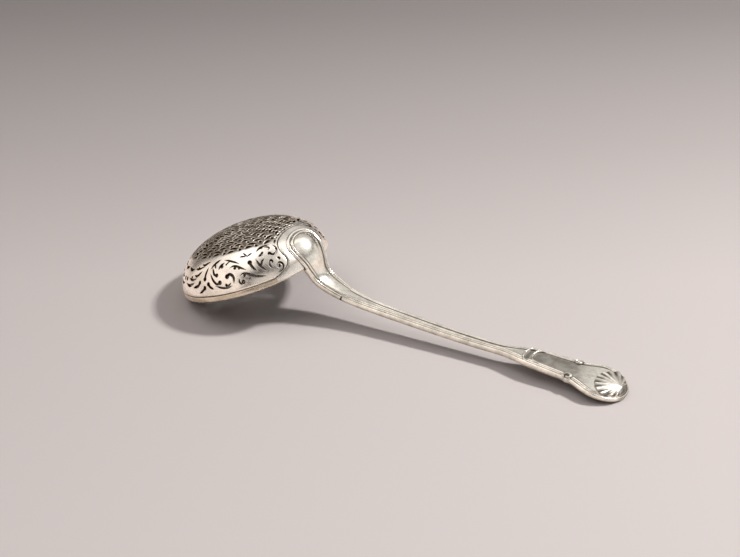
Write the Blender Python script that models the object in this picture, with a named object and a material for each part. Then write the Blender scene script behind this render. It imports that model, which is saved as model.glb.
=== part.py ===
# Sugar sifter spoon in silver, lying bowl down as it rests on a table.
# Metres, +Z up. +X runs from the bowl to the handle's end, and the origin is under the middle of the spoon.
# The bowl is a dome with a tilted mouth. A place on it is given by its climb (the length along the wall
# from the mouth), its turn (the angle round the bowl from the handle's side) and its lift off the wall.

import math

import bmesh
import bpy
import numpy as np
from mathutils import Vector
from mathutils.geometry import delaunay_2d_cdt

# Bowl
BOWL_RADIUS = 0.0337
BOWL_DEPTH = 0.0212
BOWL_FULLNESS = 2.23        # exponent of the superellipse that the wall follows
BOWL_TILT = 21.4            # degrees from the table to the mouth
SHEET = 0.0011              # bowl wall
SEAT_GAP = 0.0003           # clearance between soldered pieces
MIN_BRIDGE = 0.0005         # least metal left between two piercings

# Rim wire
RIM_HEIGHT = 0.0024
RIM_THICKNESS = 0.0016
RIM_EDGE = 0.0003           # small chamfers on the rim wire
REST_DEPTH = 0.0002         # worn flat where the rim meets the table

# Heel plate, let into a pocket in the back of the bowl
PLATE_THICKNESS = 0.0005
PLATE_PROUD = 0.0003        # how far the plate stands off the bowl's wall
PLATE_LIP = 0.0003          # strip of wall between the rim wire and the plate's pocket
PLATE_TOP = 0.0201          # climb of its round upper end
PLATE_HALF_WIDTH = 0.0129
PLATE_FOOT = 0.0034         # how far each foot spreads at the lower edge
PLATE_FOOT_RISE = 0.0047
PLATE_FOOT_CURVE = 2.2      # exponent of the foot's hollow sweep
POCKET_SLOPE = 0.0002       # width of the pocket's slanted side

# Drop and neck
DROP_TOP = 0.0173           # climb of the drop's round end
DROP_HALF_WIDTH = 0.0106
DROP_WIDEST = 0.0090        # climb of its widest place
DROP_EDGE = 0.0007          # thickness of the drop at its threads
DROP_CROWN = 0.0006         # rise of its middle over the threads
RIM_BACK_HALF_WIDTH = 0.0084
LEDGE_DEPTH = 0.0018        # how far the neck reaches in under the rim wire
NECK_BEND_REACH = 0.0030
NECK_BEND_DROP = 0.0040
NECK_BEND_HALF_WIDTH = 0.0067
NECK_FOOT_REACH = 0.0091
NECK_FOOT_HEIGHT = 0.0160
NECK_FOOT_HALF_WIDTH = 0.0058
NECK_THICKNESS = 0.0029

# Stem, with distances measured from the back of the rim
SEAM_REACH = 0.0152
SEAM_HEIGHT = 0.0139
SEAM_HALF_WIDTH = 0.0050
TAPER_REACH = 0.0341
TAPER_HEIGHT = 0.0111
TAPER_HALF_WIDTH = 0.0036
MIDDLE_REACH = 0.0633
MIDDLE_HEIGHT = 0.0089
WAIST_REACH = 0.0883
WAIST_HEIGHT = 0.0080
WAIST_HALF_WIDTH = 0.00305
SHOULDER_REACH = 0.1048
SHOULDER_HEIGHT = 0.0080
SHOULDER_HALF_WIDTH = 0.0063
KNOT_REACH = 0.1219
KNOT_HEIGHT = 0.0068
KNOT_HALF_WIDTH = 0.0076
KNOT_LENGTH = 0.0022
KNOT_BULGE = 0.0007
END_REACH = 0.1340
END_HEIGHT = 0.0054
END_HALF_WIDTH = 0.0114
TIP_REACH = 0.1459
TIP_HEIGHT = 0.0021
STEM_THICKNESS = 0.0032
END_THICKNESS = 0.0027
HOLLOW = 0.0003             # depth of the channel between the threads

# Threads: two beads along each edge
BEAD = 0.00085
END_BEAD = 0.0005           # width of a bead round the handle's end
THREAD_GROOVE = 0.0002
EDGE_DROP = 0.0003

# Shell at the handle's end
SHELL_RADIUS = 0.0102
SHELL_HINGE = 0.0034        # from the handle's tip to the point where the flutes meet
SHELL_SPREAD = 80.0         # degrees on each side of the handle's axis
SHELL_BORDER = 0.0013       # least plain border between the shell and the handle's edge
SHELL_EDGE = 0.0006
SHELL_CROWN = 0.0011
FLUTE_DEPTH = 0.0004
SCALLOP = 0.0003            # how far each ridge stands out past the shell's edge
FLUTES = 11

# Piercings of the crown: rings of slots and dots
FIELD_SHARE = 0.482         # radius of the outer ring as a share of the wall from crown to mouth
FIELD_PITCH = 0.0034
FIELD_SPACING = 0.0071
SLOT_LENGTH = 0.0038
SLOT_WIDTH = 0.0013
SLOT_FLAT = 0.42            # share of a slot that keeps its full width
DOT_DIAMETER = 0.0014
CROWN_CLEAR = 0.0030        # no ring of piercings is smaller than this

# Scroll piercings round the wall, on one half of the bowl: width in millimetres, then the points of the
# stroke from its head to its tail as turn in degrees and climb in percent of the wall.
SCROLLS = (
    (1.3, (28.6, 44.8), (24.0, 44.2), (19.6, 42.0)),
    (0.9, (30.2, 27.7), (27.2, 31.8), (25.4, 37.3)),
    (1.0, (35.3, 23.0), (38.0, 20.4), (37.1, 16.1)),
    (1.1, (32.6, 17.0), (28.8, 16.6), (28.9, 12.7), (33.5, 10.2)),
    (1.0, (43.6, 38.6), (38.0, 42.0), (31.8, 41.8)),
    (0.9, (37.6, 37.6), (34.2, 37.5), (30.8, 34.8)),
    (1.1, (42.6, 35.5), (40.6, 34.0), (38.4, 31.0)),
    (1.1, (46.5, 29.5), (45.2, 22.0), (41.5, 15.2)),
    (1.0, (39.4, 28.0), (40.6, 26.2), (41.6, 24.1)),
    (1.0, (60.3, 39.5), (57.8, 39.2), (55.6, 37.6)),
    (0.9, (56.2, 44.4), (55.4, 42.8), (53.6, 41.0)),
    (1.0, (52.4, 37.2), (50.0, 38.4), (47.4, 40.2)),
    (1.2, (52.5, 29.8), (51.6, 25.0), (49.1, 19.1)),
    (1.4, (61.8, 20.5), (54.0, 15.6), (44.4, 11.4)),
    (1.2, (61.0, 13.0), (62.8, 13.8), (64.4, 16.4)),
    (1.5, (70.1, 30.9), (63.8, 28.0), (57.4, 24.3)),
    (1.5, (75.0, 40.4), (69.0, 39.0), (63.6, 34.3)),
    (1.2, (73.9, 21.4), (70.0, 23.6), (68.8, 14.8)),
    (1.2, (84.2, 15.0), (77.6, 11.2), (71.4, 13.4)),
    (1.1, (79.2, 33.6), (78.0, 36.0), (76.6, 37.8)),
    (1.2, (80.3, 17.7), (86.2, 20.4), (89.6, 28.6)),
    (1.3, (83.0, 25.7), (84.2, 29.6), (86.8, 32.0)),
    (1.2, (81.0, 42.9), (85.0, 39.8), (90.0, 33.8)),
    (1.3, (91.8, 18.4), (89.8, 15.0), (87.2, 12.4)),
    (1.3, (95.9, 14.5), (98.8, 11.8), (102.0, 10.4)),
    (1.1, (95.8, 23.4), (95.2, 29.4), (93.9, 34.8)),
    (1.4, (101.6, 20.0), (105.2, 18.0), (109.4, 15.2)),
    (1.4, (122.2, 18.0), (117.6, 17.0), (110.4, 19.8)),
    (1.2, (109.4, 27.4), (105.8, 26.8), (100.6, 31.8)),
    (1.3, (117.4, 24.0), (113.4, 26.0), (108.6, 22.8)),
    (1.2, (103.3, 40.2), (99.4, 38.4), (93.7, 41.0)),
    (1.2, (110.6, 34.1), (106.8, 36.3), (102.6, 35.2)),
    (1.2, (123.2, 35.4), (119.6, 30.6), (114.0, 33.9)),
)
SCROLL_DOTS = ((2.0, 33.3, 30.5), (1.6, 29.0, 22.0), (1.5, 122.8, 23.4))
FRONT_REPEAT = 125.0        # turn about which the scrolls repeat, mirrored, round the front
FRONT_FROM = 74.0           # scrolls that start past this turn are repeated
FRONT_DOTS = ((1.7, 180.0, 26.5), (1.4, 180.0, 36.5), (1.3, 180.0, 19.0))
COMMA = ((0.06, 0.72), (0.34, 1.0), (0.7, 0.68))      # place along a stroke, share of its full width

# Fineness of the curved sheets, in millimetres
GRID_SPACING = 3.6
GRID_MARGIN = 0.9

SILVER = (0.83, 0.81, 0.77, 1.0)
WORN_SILVER = (0.78, 0.76, 0.71, 1.0)
CAST_SILVER = (0.80, 0.78, 0.73, 1.0)

TILT = math.radians(BOWL_TILT)
MM = 0.001
WALL_STEPS = 1600
TOP_LIFT = PLATE_PROUD + SEAT_GAP + DROP_EDGE     # level of the threads over the bowl's wall
PLATE_BASE = RIM_HEIGHT + 2 * SEAT_GAP + POCKET_SLOPE + PLATE_LIP     # climb of the plate's lower edge


def wall_table():
    # Radius and height along the wall from the mouth to the crown, against the length along it.
    angles = np.linspace(0.0, math.pi / 2, WALL_STEPS)
    radii = BOWL_RADIUS * np.abs(np.cos(angles)) ** (2 / BOWL_FULLNESS)
    heights = BOWL_DEPTH * np.abs(np.sin(angles)) ** (2 / BOWL_FULLNESS)
    steps = np.hypot(np.diff(radii), np.diff(heights))
    return np.concatenate(([0.0], np.cumsum(steps))), radii, heights


WALL_CLIMB, WALL_RADIUS, WALL_HEIGHT = wall_table()
WALL_LENGTH = float(WALL_CLIMB[-1])


def wall(climb, lift):
    # Radius and height of a point at a climb, lifted off the wall. Below the mouth the wall runs straight.
    if climb <= 0.0:
        return BOWL_RADIUS + lift, climb
    radius = float(np.interp(climb, WALL_CLIMB, WALL_RADIUS))
    height = float(np.interp(climb, WALL_CLIMB, WALL_HEIGHT))
    slope_r = (radius / BOWL_RADIUS) ** (BOWL_FULLNESS - 1) / BOWL_RADIUS
    slope_h = (height / BOWL_DEPTH) ** (BOWL_FULLNESS - 1) / BOWL_DEPTH
    size = math.hypot(slope_r, slope_h)
    return radius + lift * slope_r / size, height + lift * slope_h / size


def lean(along, height):
    # From the bowl's own axes (along the handle, off the mouth) to X and Z with the mouth tilted.
    reach = along + BOWL_RADIUS
    x = reach * math.cos(TILT) - height * math.sin(TILT)
    z = reach * math.sin(TILT) + height * math.cos(TILT)
    return x, z


# The spoon is set down on a small worn flat, with the origin under its middle.
TABLE = lean(-BOWL_RADIUS + RIM_EDGE, 0.0)[1] + REST_DEPTH
RIM_BACK_X, RIM_BACK_Z = lean(BOWL_RADIUS, 0.0)
FRONT_X = min(lean(-r, h)[0] for r, h in zip(WALL_RADIUS, WALL_HEIGHT))
MIDDLE_X = (FRONT_X + RIM_BACK_X + TIP_REACH) / 2


def place(x, y, z):
    return Vector((x - MIDDLE_X, y, z - TABLE))


def bowl_point(climb, turn, lift):
    radius, height = wall(climb, lift)
    x, z = lean(radius * math.cos(turn), height)
    return place(x, radius * math.sin(turn), z)


def smooth_line(knots):
    # A curve through (place, value) knots that never overshoots between them.
    places = np.array([k[0] for k in knots])
    values = np.array([k[1] for k in knots])
    gaps = np.diff(places)
    slopes = np.diff(values) / gaps
    tangents = [slopes[0]]
    for one, two in zip(slopes[:-1], slopes[1:]):
        tangents.append(2 * one * two / (one + two) if one * two > 0 else 0.0)
    tangents.append(slopes[-1])

    def value(at):
        i = int(np.clip(np.searchsorted(places, at) - 1, 0, len(gaps) - 1))
        t = min(max((at - places[i]) / gaps[i], 0.0), 1.0)
        start = values[i] * (1 + 2 * t) * (1 - t) ** 2 + gaps[i] * tangents[i] * t * (1 - t) ** 2
        end = values[i + 1] * t * t * (3 - 2 * t) + gaps[i] * tangents[i + 1] * t * t * (t - 1)
        return float(start + end)
    return value


def spline(points):
    # A natural cubic curve through points in the X-Z plane, against the length along its chords.
    points = np.array(points)
    knots = np.concatenate(([0.0], np.cumsum(np.hypot(*np.diff(points, axis=0).T))))
    count = len(points)
    gaps = np.diff(knots)
    matrix = np.eye(count)
    right = np.zeros((count, 2))
    for i in range(1, count - 1):
        matrix[i, i - 1:i + 2] = gaps[i - 1], 2 * (gaps[i - 1] + gaps[i]), gaps[i]
        right[i] = 6 * ((points[i + 1] - points[i]) / gaps[i] - (points[i] - points[i - 1]) / gaps[i - 1])
    bends = np.linalg.solve(matrix, right)

    def at(length):
        i = int(np.clip(np.searchsorted(knots, length) - 1, 0, count - 2))
        ahead, behind, gap = knots[i + 1] - length, length - knots[i], gaps[i]
        return (bends[i] * ahead ** 3 / (6 * gap) + bends[i + 1] * behind ** 3 / (6 * gap)
                + (points[i] / gap - bends[i] * gap / 6) * ahead
                + (points[i + 1] / gap - bends[i + 1] * gap / 6) * behind)
    return at, knots


def handle_path():
    # The level of the threads in the middle plane, from the drop over the rim's back to the tip.
    points = [lean(*wall(climb, TOP_LIFT)) for climb in (DROP_WIDEST, DROP_WIDEST / 2, 0.0)]
    points.append((RIM_BACK_X + NECK_BEND_REACH, RIM_BACK_Z - NECK_BEND_DROP))
    stations = ((NECK_FOOT_REACH, NECK_FOOT_HEIGHT), (SEAM_REACH, SEAM_HEIGHT),
                (TAPER_REACH, TAPER_HEIGHT), (MIDDLE_REACH, MIDDLE_HEIGHT), (WAIST_REACH, WAIST_HEIGHT),
                (SHOULDER_REACH, SHOULDER_HEIGHT), (KNOT_REACH, KNOT_HEIGHT), (END_REACH, END_HEIGHT),
                (TIP_REACH, TIP_HEIGHT))
    points += [(RIM_BACK_X + reach, TABLE + height) for reach, height in stations]
    at, knots = spline(points)
    start = knots[2]
    names = ("bend", "foot", "seam", "taper", "middle", "waist", "shoulder", "knot", "end", "tip")
    return at, start, dict(zip(names, (knots[3:] - start).tolist()))


PATH, PATH_START, RUN = handle_path()


def half_width_line():
    knots = ((-DROP_WIDEST, DROP_HALF_WIDTH), (0.0, RIM_BACK_HALF_WIDTH),
             (RUN["bend"], NECK_BEND_HALF_WIDTH), (RUN["foot"], NECK_FOOT_HALF_WIDTH),
             (RUN["seam"], SEAM_HALF_WIDTH), (RUN["taper"], TAPER_HALF_WIDTH),
             (RUN["waist"], WAIST_HALF_WIDTH), (RUN["shoulder"], SHOULDER_HALF_WIDTH),
             (RUN["knot"], KNOT_HALF_WIDTH), (RUN["end"], END_HALF_WIDTH))
    return smooth_line(knots)


HALF_WIDTH = half_width_line()
THICKNESS = smooth_line(((0.0, NECK_THICKNESS), (RUN["seam"], NECK_THICKNESS),
                         (RUN["taper"], STEM_THICKNESS), (RUN["shoulder"], STEM_THICKNESS),
                         (RUN["end"], END_THICKNESS)))


def handle_point(run, across, level):
    # A point of the handle. Run is the length from the rim's back, negative up the drop. Level is the
    # height over the threads.
    if run < 0.0:
        radius = wall(-run, TOP_LIFT)[0]
        return bowl_point(-run, across / radius, TOP_LIFT + level)
    step = 1e-5
    here = PATH(PATH_START + run)
    ahead = PATH(PATH_START + run + step) - PATH(PATH_START + run - step)
    ahead /= np.hypot(*ahead)
    round_back = BOWL_RADIUS + TOP_LIFT
    fade = 1 - min(run / RUN["foot"], 1.0)
    sag = (round_back - math.sqrt(round_back ** 2 - across ** 2)) * fade * fade * (3 - 2 * fade)
    x, z = here + np.array((-ahead[1], ahead[0])) * (level - sag)
    return place(x, across, max(z, TABLE))


def knot_bulge(run):
    return KNOT_BULGE * math.exp(-((run - RUN["knot"]) / (KNOT_LENGTH / 2)) ** 2)


def round_end(run_from, run_to, half_width, steps):
    # Stations of a half-ellipse end, from its widest place to its tip.
    stations = []
    for i in range(1, steps + 1):
        angle = math.pi / 2 * i / steps
        run = run_from + (run_to - run_from) * math.sin(angle)
        stations.append((run, half_width * math.cos(angle) if i < steps else 0.0))
    return stations


THREADS = ((0.0, -EDGE_DROP), (0.2 * BEAD, -0.1 * EDGE_DROP), (0.5 * BEAD, 0.0), (0.9 * BEAD, 0.0),
           (1.15 * BEAD, -THREAD_GROOVE), (1.4 * BEAD, 0.0), (1.9 * BEAD, 0.0), (2.2 * BEAD, -THREAD_GROOVE))


def threaded_body(name, stations, below, middle, thread_scale, material):
    # A forged bar from a butt end to a round end, with threads that follow its edge on the upper side.
    # Stations are (run, half width). Below gives the run and level of the underside at a station, and
    # middle the level of the upper side on the axis.
    mesh = bmesh.new()
    forward = 1 if stations[-1][0] > stations[0][0] else -1
    count = len(stations)
    cross = []
    for i, (run, half) in enumerate(stations):
        before, after = stations[max(i - 1, 0)], stations[min(i + 1, count - 1)]
        d_run, d_half = after[0] - before[0], after[1] - before[1]
        inward = (forward * d_half, -forward * d_run)
        if i == 0:
            inward = (0.0, -1.0)
        if i == count - 1:
            inward = (-forward, 0.0)
        size = math.hypot(*inward)
        inward = (inward[0] / size, inward[1] / size)
        scale = thread_scale(run)
        rings = [(run + inward[0] * inset * scale, half + inward[1] * inset * scale, level)
                 for inset, level in THREADS]
        under_run, under_level = below(run)
        chamfer = min(0.25 * abs(under_level), EDGE_DROP)
        rim = [(under_run + inward[0] * chamfer, half + inward[1] * chamfer, under_level),
               (under_run, half, under_level + chamfer)]
        cross.append((rim + rings, middle(run)))
    columns = []
    for outline, rise in cross[:-1]:
        under_run, under_half, under_level = outline[0]
        top_run, top_half, top_level = outline[-1]
        across = [(under_run, under_half * share, under_level) for share in (1 / 3, 2 / 3)] + outline
        across.append((top_run, top_half / 2, top_level + 0.75 * (rise - top_level)))
        right = [mesh.verts.new(handle_point(run, half, level)) for run, half, level in across]
        left = [mesh.verts.new(handle_point(run, -half, level)) for run, half, level in across]
        under = mesh.verts.new(handle_point(under_run, 0.0, under_level))
        over = mesh.verts.new(handle_point(top_run, 0.0, rise))
        columns.append([under, *right, over, *reversed(left)])
    tip = [mesh.verts.new(handle_point(run, 0.0, level)) for run, half, level in cross[-1][0]]
    half_tip = [tip[0]] * 2 + tip + [tip[-1]]
    columns.append([tip[0], *half_tip, tip[-1], *reversed(half_tip)])
    ring = len(columns[0])
    for one, two in zip(columns[:-1], columns[1:]):
        for k in range(ring):
            corners = []
            for vert in (one[k], one[(k + 1) % ring], two[(k + 1) % ring], two[k]):
                if vert not in corners:
                    corners.append(vert)
            if len(corners) > 2:
                mesh.faces.new(corners)
    mesh.faces.new(columns[0])
    return finish(name, mesh, material)


def finish(name, mesh, material):
    # Turns a bmesh into a named object with its own silver.
    bmesh.ops.recalc_face_normals(mesh, faces=mesh.faces)
    data = bpy.data.meshes.new(name)
    mesh.to_mesh(data)
    mesh.free()
    data.shade_smooth()
    data.set_sharp_from_angle(angle=math.radians(35))
    data.materials.append(material)
    piece = bpy.data.objects.new(name, data)
    bpy.context.scene.collection.objects.link(piece)
    return piece


def silver(name, colour, roughness):
    material = bpy.data.materials.new(name)
    material.use_nodes = True
    shader = material.node_tree.nodes["Principled BSDF"]
    shader.inputs["Base Color"].default_value = colour
    shader.inputs["Metallic"].default_value = 1.0
    shader.inputs["Roughness"].default_value = roughness
    return material


def flat(climb, turn):
    # The bowl's wall laid flat in millimetres: the distance from the crown and the turn kept as they are.
    distance = (WALL_LENGTH - climb) / MM
    return Vector((distance * math.cos(turn), distance * math.sin(turn)))


def unflat(point):
    return WALL_LENGTH - point.length * MM, math.atan2(point.y, point.x)


def through(points, t):
    # A smooth curve through two to four points, evenly spaced from t = 0 to t = 1.
    count = len(points)
    total = Vector((0.0, 0.0))
    for i, point in enumerate(points):
        weight = 1.0
        for j in range(count):
            if j != i:
                weight *= (t * (count - 1) - j) / (i - j)
        total += point * weight
    return total


def scroll(width, spine):
    # A comma: round head at the first point, fullest near it, and a tapered tail at the last.
    step = 0.02
    left, right = [], []
    for t, share in COMMA:
        along = through(spine, t + step) - through(spine, t - step)
        side = Vector((-along.y, along.x)).normalized() * (width * share / 2)
        left.append(through(spine, t) + side)
        right.append(through(spine, t) - side)
    return [through(spine, -0.04), *right, through(spine, 1.0), *reversed(left)]


def dot(diameter, centre, sides=6):
    angles = [2 * math.pi * i / sides for i in range(sides)]
    return [centre + Vector((math.cos(a), math.sin(a))) * (diameter / 2) for a in angles]


def scroll_piercings():
    strokes = [(width, points) for width, *points in SCROLLS]
    dots = list(SCROLL_DOTS)
    for width, *points in SCROLLS:
        if min(p[0] for p in points) > FRONT_FROM:
            strokes.append((width, [(2 * FRONT_REPEAT - turn, climb) for turn, climb in points]))
    for width, turn, climb in SCROLL_DOTS:
        if turn > FRONT_FROM:
            dots.append((width, 2 * FRONT_REPEAT - turn, climb))
    loops = []
    for side in (-1, 1):
        for width, points in strokes:
            spine = [flat(c / 100 * WALL_LENGTH, side * math.radians(t)) for t, c in points]
            loops.append(scroll(width, spine))
        for width, turn, climb in dots:
            loops.append(dot(width, flat(climb / 100 * WALL_LENGTH, side * math.radians(turn))))
    for width, turn, climb in FRONT_DOTS:
        loops.append(dot(width, flat(climb / 100 * WALL_LENGTH, math.radians(turn))))
    return loops


def field_piercings():
    # Rings of slots and dots, turn about, with a dot in the middle of the crown.
    loops = [dot(DOT_DIAMETER / MM, Vector((0.0, 0.0)))]
    radius = FIELD_SHARE * WALL_LENGTH
    ring = 0
    while radius > CROWN_CLEAR:
        pairs = max(3, round(2 * math.pi * radius / FIELD_SPACING))
        for i in range(2 * pairs):
            turn = math.pi * (i + ring % 2) / pairs
            centre = Vector((math.cos(turn), math.sin(turn))) * (radius / MM)
            if i % 2:
                loops.append(dot(DOT_DIAMETER / MM, centre))
            else:
                across = Vector((-math.sin(turn), math.cos(turn))) * (SLOT_LENGTH / 2 / MM)
                out = Vector((math.cos(turn), math.sin(turn))) * (SLOT_WIDTH / 2 / MM)
                bow = across.length ** 2 / (2 * radius / MM)
                ends = out.normalized() * bow
                body = across * SLOT_FLAT
                loops.append([centre - across - ends, centre - body - out, centre + body - out,
                              centre + across - ends, centre + body + out, centre - body + out])
        radius -= FIELD_PITCH
        ring += 1
    return loops


def plate_outline(grow):
    # The heel plate's outline on the flattened wall, grown by a margin, as a closed loop.
    half = []
    base, top = PLATE_BASE - grow, PLATE_TOP + grow
    waist = PLATE_BASE + PLATE_FOOT_RISE
    foot_steps, arch_steps = 5, 9
    for i in range(foot_steps):
        climb = base + (waist - base) * i / foot_steps
        share = (waist - climb) / PLATE_FOOT_RISE
        half.append((climb, PLATE_HALF_WIDTH + PLATE_FOOT * share ** PLATE_FOOT_CURVE + grow * (1 + share)))
    for i in range(arch_steps):
        angle = math.pi / 2 * i / arch_steps
        half.append((waist + (top - waist) * math.sin(angle), (PLATE_HALF_WIDTH + grow) * math.cos(angle)))
    right = [flat(c, w / wall(c, 0.0)[0]) for c, w in half]
    left = [Vector((p.x, -p.y)) for p in right]
    base_turn = half[0][1] / wall(base, 0.0)[0]
    base_steps = 8
    foot = [flat(base, base_turn * (2 * i / base_steps - 1)) for i in range(1, base_steps)]
    return [*right, flat(top, 0.0), *reversed(left), *foot]


def inside(point, loop):
    hit = False
    for one, two in zip(loop, loop[1:] + loop[:1]):
        if (one.y > point.y) != (two.y > point.y):
            if point.x < (two.x - one.x) * (point.y - one.y) / (two.y - one.y) + one.x:
                hit = not hit
    return hit


def edge_distance(point, loop):
    best = 1e9
    for one, two in zip(loop, loop[1:] + loop[:1]):
        line = two - one
        t = min(max((point - one).dot(line) / line.length_squared, 0.0), 1.0)
        best = min(best, (point - one - line * t).length)
    return best


def clear_piercings(loops, pocket, edge_radius):
    # Leaves out a piercing that would come too close to the pocket, the edge or another piercing.
    bridge = MIN_BRIDGE / MM
    kept = []
    for loop in loops:
        centre = sum(loop, Vector((0.0, 0.0))) / len(loop)
        reach = max((p - centre).length for p in loop)
        free = max(p.length for p in loop) < edge_radius - bridge
        free = free and not any(inside(p, pocket) or edge_distance(p, pocket) < bridge for p in loop)
        for other, other_centre, other_reach in kept:
            if not free:
                break
            if (centre - other_centre).length < reach + other_reach + bridge:
                free = all(edge_distance(p, other) > bridge and not inside(p, other) for p in loop)
                free = free and all(edge_distance(p, loop) > bridge for p in other)
        if free:
            kept.append((loop, centre, reach))
    return [loop for loop, centre, reach in kept]


def grid_points(loops, borders, edge_radius):
    # Extra points that carry the dome's curve where there are no piercings.
    points = []
    rings = int(edge_radius / GRID_SPACING)
    reaches = [max((p - loop[0]).length for p in loop) + GRID_MARGIN for loop in loops]
    for i in range(1, rings + 1):
        radius = edge_radius * i / (rings + 0.6)
        count = max(6, round(2 * math.pi * radius / GRID_SPACING))
        for j in range(count):
            turn = 2 * math.pi * (j + 0.5 * (i % 2)) / count
            point = Vector((math.cos(turn), math.sin(turn))) * radius
            near = [loop for loop, reach in zip(loops, reaches) if (loop[0] - point).length < reach]
            if any(edge_distance(point, loop) < GRID_MARGIN or inside(point, loop) for loop in near):
                continue
            if all(edge_distance(point, border) > GRID_MARGIN for border in borders):
                points.append(point)
    return points


def make_bowl(material):
    lower = RIM_HEIGHT + SEAT_GAP
    edge_radius = (WALL_LENGTH - lower) / MM
    edge_count = 80
    edge = [flat(lower, 2 * math.pi * i / edge_count) for i in range(edge_count)]
    pocket = plate_outline(SEAT_GAP)
    brink = plate_outline(SEAT_GAP + POCKET_SLOPE)
    holes = clear_piercings(scroll_piercings() + field_piercings(), brink, edge_radius)
    loops = [edge, brink, pocket, *holes]
    points, edges, owner = [], [], []
    for number, loop in enumerate(loops):
        first = len(points)
        points += loop
        owner += [number] * len(loop)
        edges += [(first + i, first + (i + 1) % len(loop)) for i in range(len(loop))]
    extra = grid_points(holes, (edge, brink, pocket), edge_radius)
    points += extra
    owner += [-1] * len(extra)
    found = delaunay_2d_cdt(points, edges, [], 0, 1e-6)
    corners, triangles, sources = found[0], found[2], found[3]
    number_of = [owner[s[0]] for s in sources]
    sunk = PLATE_THICKNESS + SEAT_GAP - PLATE_PROUD
    mesh = bmesh.new()
    outer, inner = [], []
    for point, number in zip(corners, number_of):
        climb, turn = unflat(point)
        low = number == 2 or (number == -1 and inside(point, pocket))
        outer.append(mesh.verts.new(bowl_point(climb, turn, -sunk if low else 0.0)))
        inner.append(mesh.verts.new(bowl_point(climb, turn, -SHEET)))
    used = set()
    for triangle in triangles:
        numbers = {number_of[i] for i in triangle}
        centre = sum((corners[i] for i in triangle), Vector((0.0, 0.0))) / 3
        if len(numbers) == 1 and min(numbers) > 2 and inside(centre, loops[min(numbers)]):
            continue
        mesh.faces.new([outer[i] for i in triangle])
        mesh.faces.new([inner[i] for i in reversed(triangle)])
        for one, two in zip(triangle, triangle[1:] + triangle[:1]):
            used.add((one, two))
    for one, two in sorted(used):
        if (two, one) not in used:
            mesh.faces.new((outer[two], outer[one], inner[one], inner[two]))
    return finish("pierced_bowl", mesh, material)


def make_rim(material):
    # A band round the mouth, chamfered at its edges, with a flat worn where it meets the table.
    segments = 80
    soft = 0.5 * RIM_EDGE
    section = ((0.0, -RIM_EDGE), (RIM_EDGE, 0.0), (0.5 * RIM_HEIGHT, 0.0), (RIM_HEIGHT - soft, 0.0),
               (RIM_HEIGHT, -soft), (RIM_HEIGHT, soft - RIM_THICKNESS), (RIM_HEIGHT - soft, -RIM_THICKNESS),
               (RIM_EDGE, -RIM_THICKNESS), (0.0, RIM_EDGE - RIM_THICKNESS))
    mesh = bmesh.new()
    rings = []
    for i in range(segments):
        turn = 2 * math.pi * i / segments
        ring = []
        for climb, lift in section:
            ring.append(mesh.verts.new(bowl_point(climb, turn, lift)))
        rings.append(ring)
    for one, two in zip(rings, rings[1:] + rings[:1]):
        for k in range(len(section)):
            after = (k + 1) % len(section)
            mesh.faces.new((one[k], two[k], two[after], one[after]))
    everything = [*mesh.verts, *mesh.edges, *mesh.faces]
    cut = bmesh.ops.bisect_plane(mesh, geom=everything, dist=1e-7, plane_co=(0, 0, 0), plane_no=(0, 0, -1),
                                 clear_outer=True)
    brim = [e for e in cut["geom_cut"] if isinstance(e, bmesh.types.BMEdge)]
    bmesh.ops.edgeloop_fill(mesh, edges=brim)
    return finish("rim_wire", mesh, material)


def make_plate(material):
    outline = plate_outline(0.0)
    count = len(outline)
    edges = [(i, (i + 1) % count) for i in range(count)]
    points = list(outline)
    low, wide = max(p.x for p in outline), max(p.y for p in outline)
    rows, side = int(low / GRID_SPACING), int(wide / GRID_SPACING)
    for i in range(1, rows):
        for j in range(-side, side + 1):
            point = Vector((low - i * GRID_SPACING, j * GRID_SPACING))
            if inside(point, outline) and edge_distance(point, outline) > GRID_MARGIN:
                points.append(point)
    found = delaunay_2d_cdt(points, edges, [], 0, 1e-6)
    corners, triangles = found[0], found[2]
    mesh = bmesh.new()
    upper, under = [], []
    for point in corners:
        climb, turn = unflat(point)
        upper.append(mesh.verts.new(bowl_point(climb, turn, PLATE_PROUD)))
        under.append(mesh.verts.new(bowl_point(climb, turn, PLATE_PROUD - PLATE_THICKNESS)))
    used = set()
    for triangle in triangles:
        centre = sum((corners[i] for i in triangle), Vector((0.0, 0.0))) / 3
        if not inside(centre, outline):
            continue
        mesh.faces.new([upper[i] for i in triangle])
        mesh.faces.new([under[i] for i in reversed(triangle)])
        for one, two in zip(triangle, triangle[1:] + triangle[:1]):
            used.add((one, two))
    for one, two in sorted(used):
        if (two, one) not in used:
            mesh.faces.new((upper[two], upper[one], under[one], under[two]))
    for vert in [v for v in mesh.verts if not v.link_faces]:
        mesh.verts.remove(vert)
    return finish("heel_plate", mesh, material)


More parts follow.
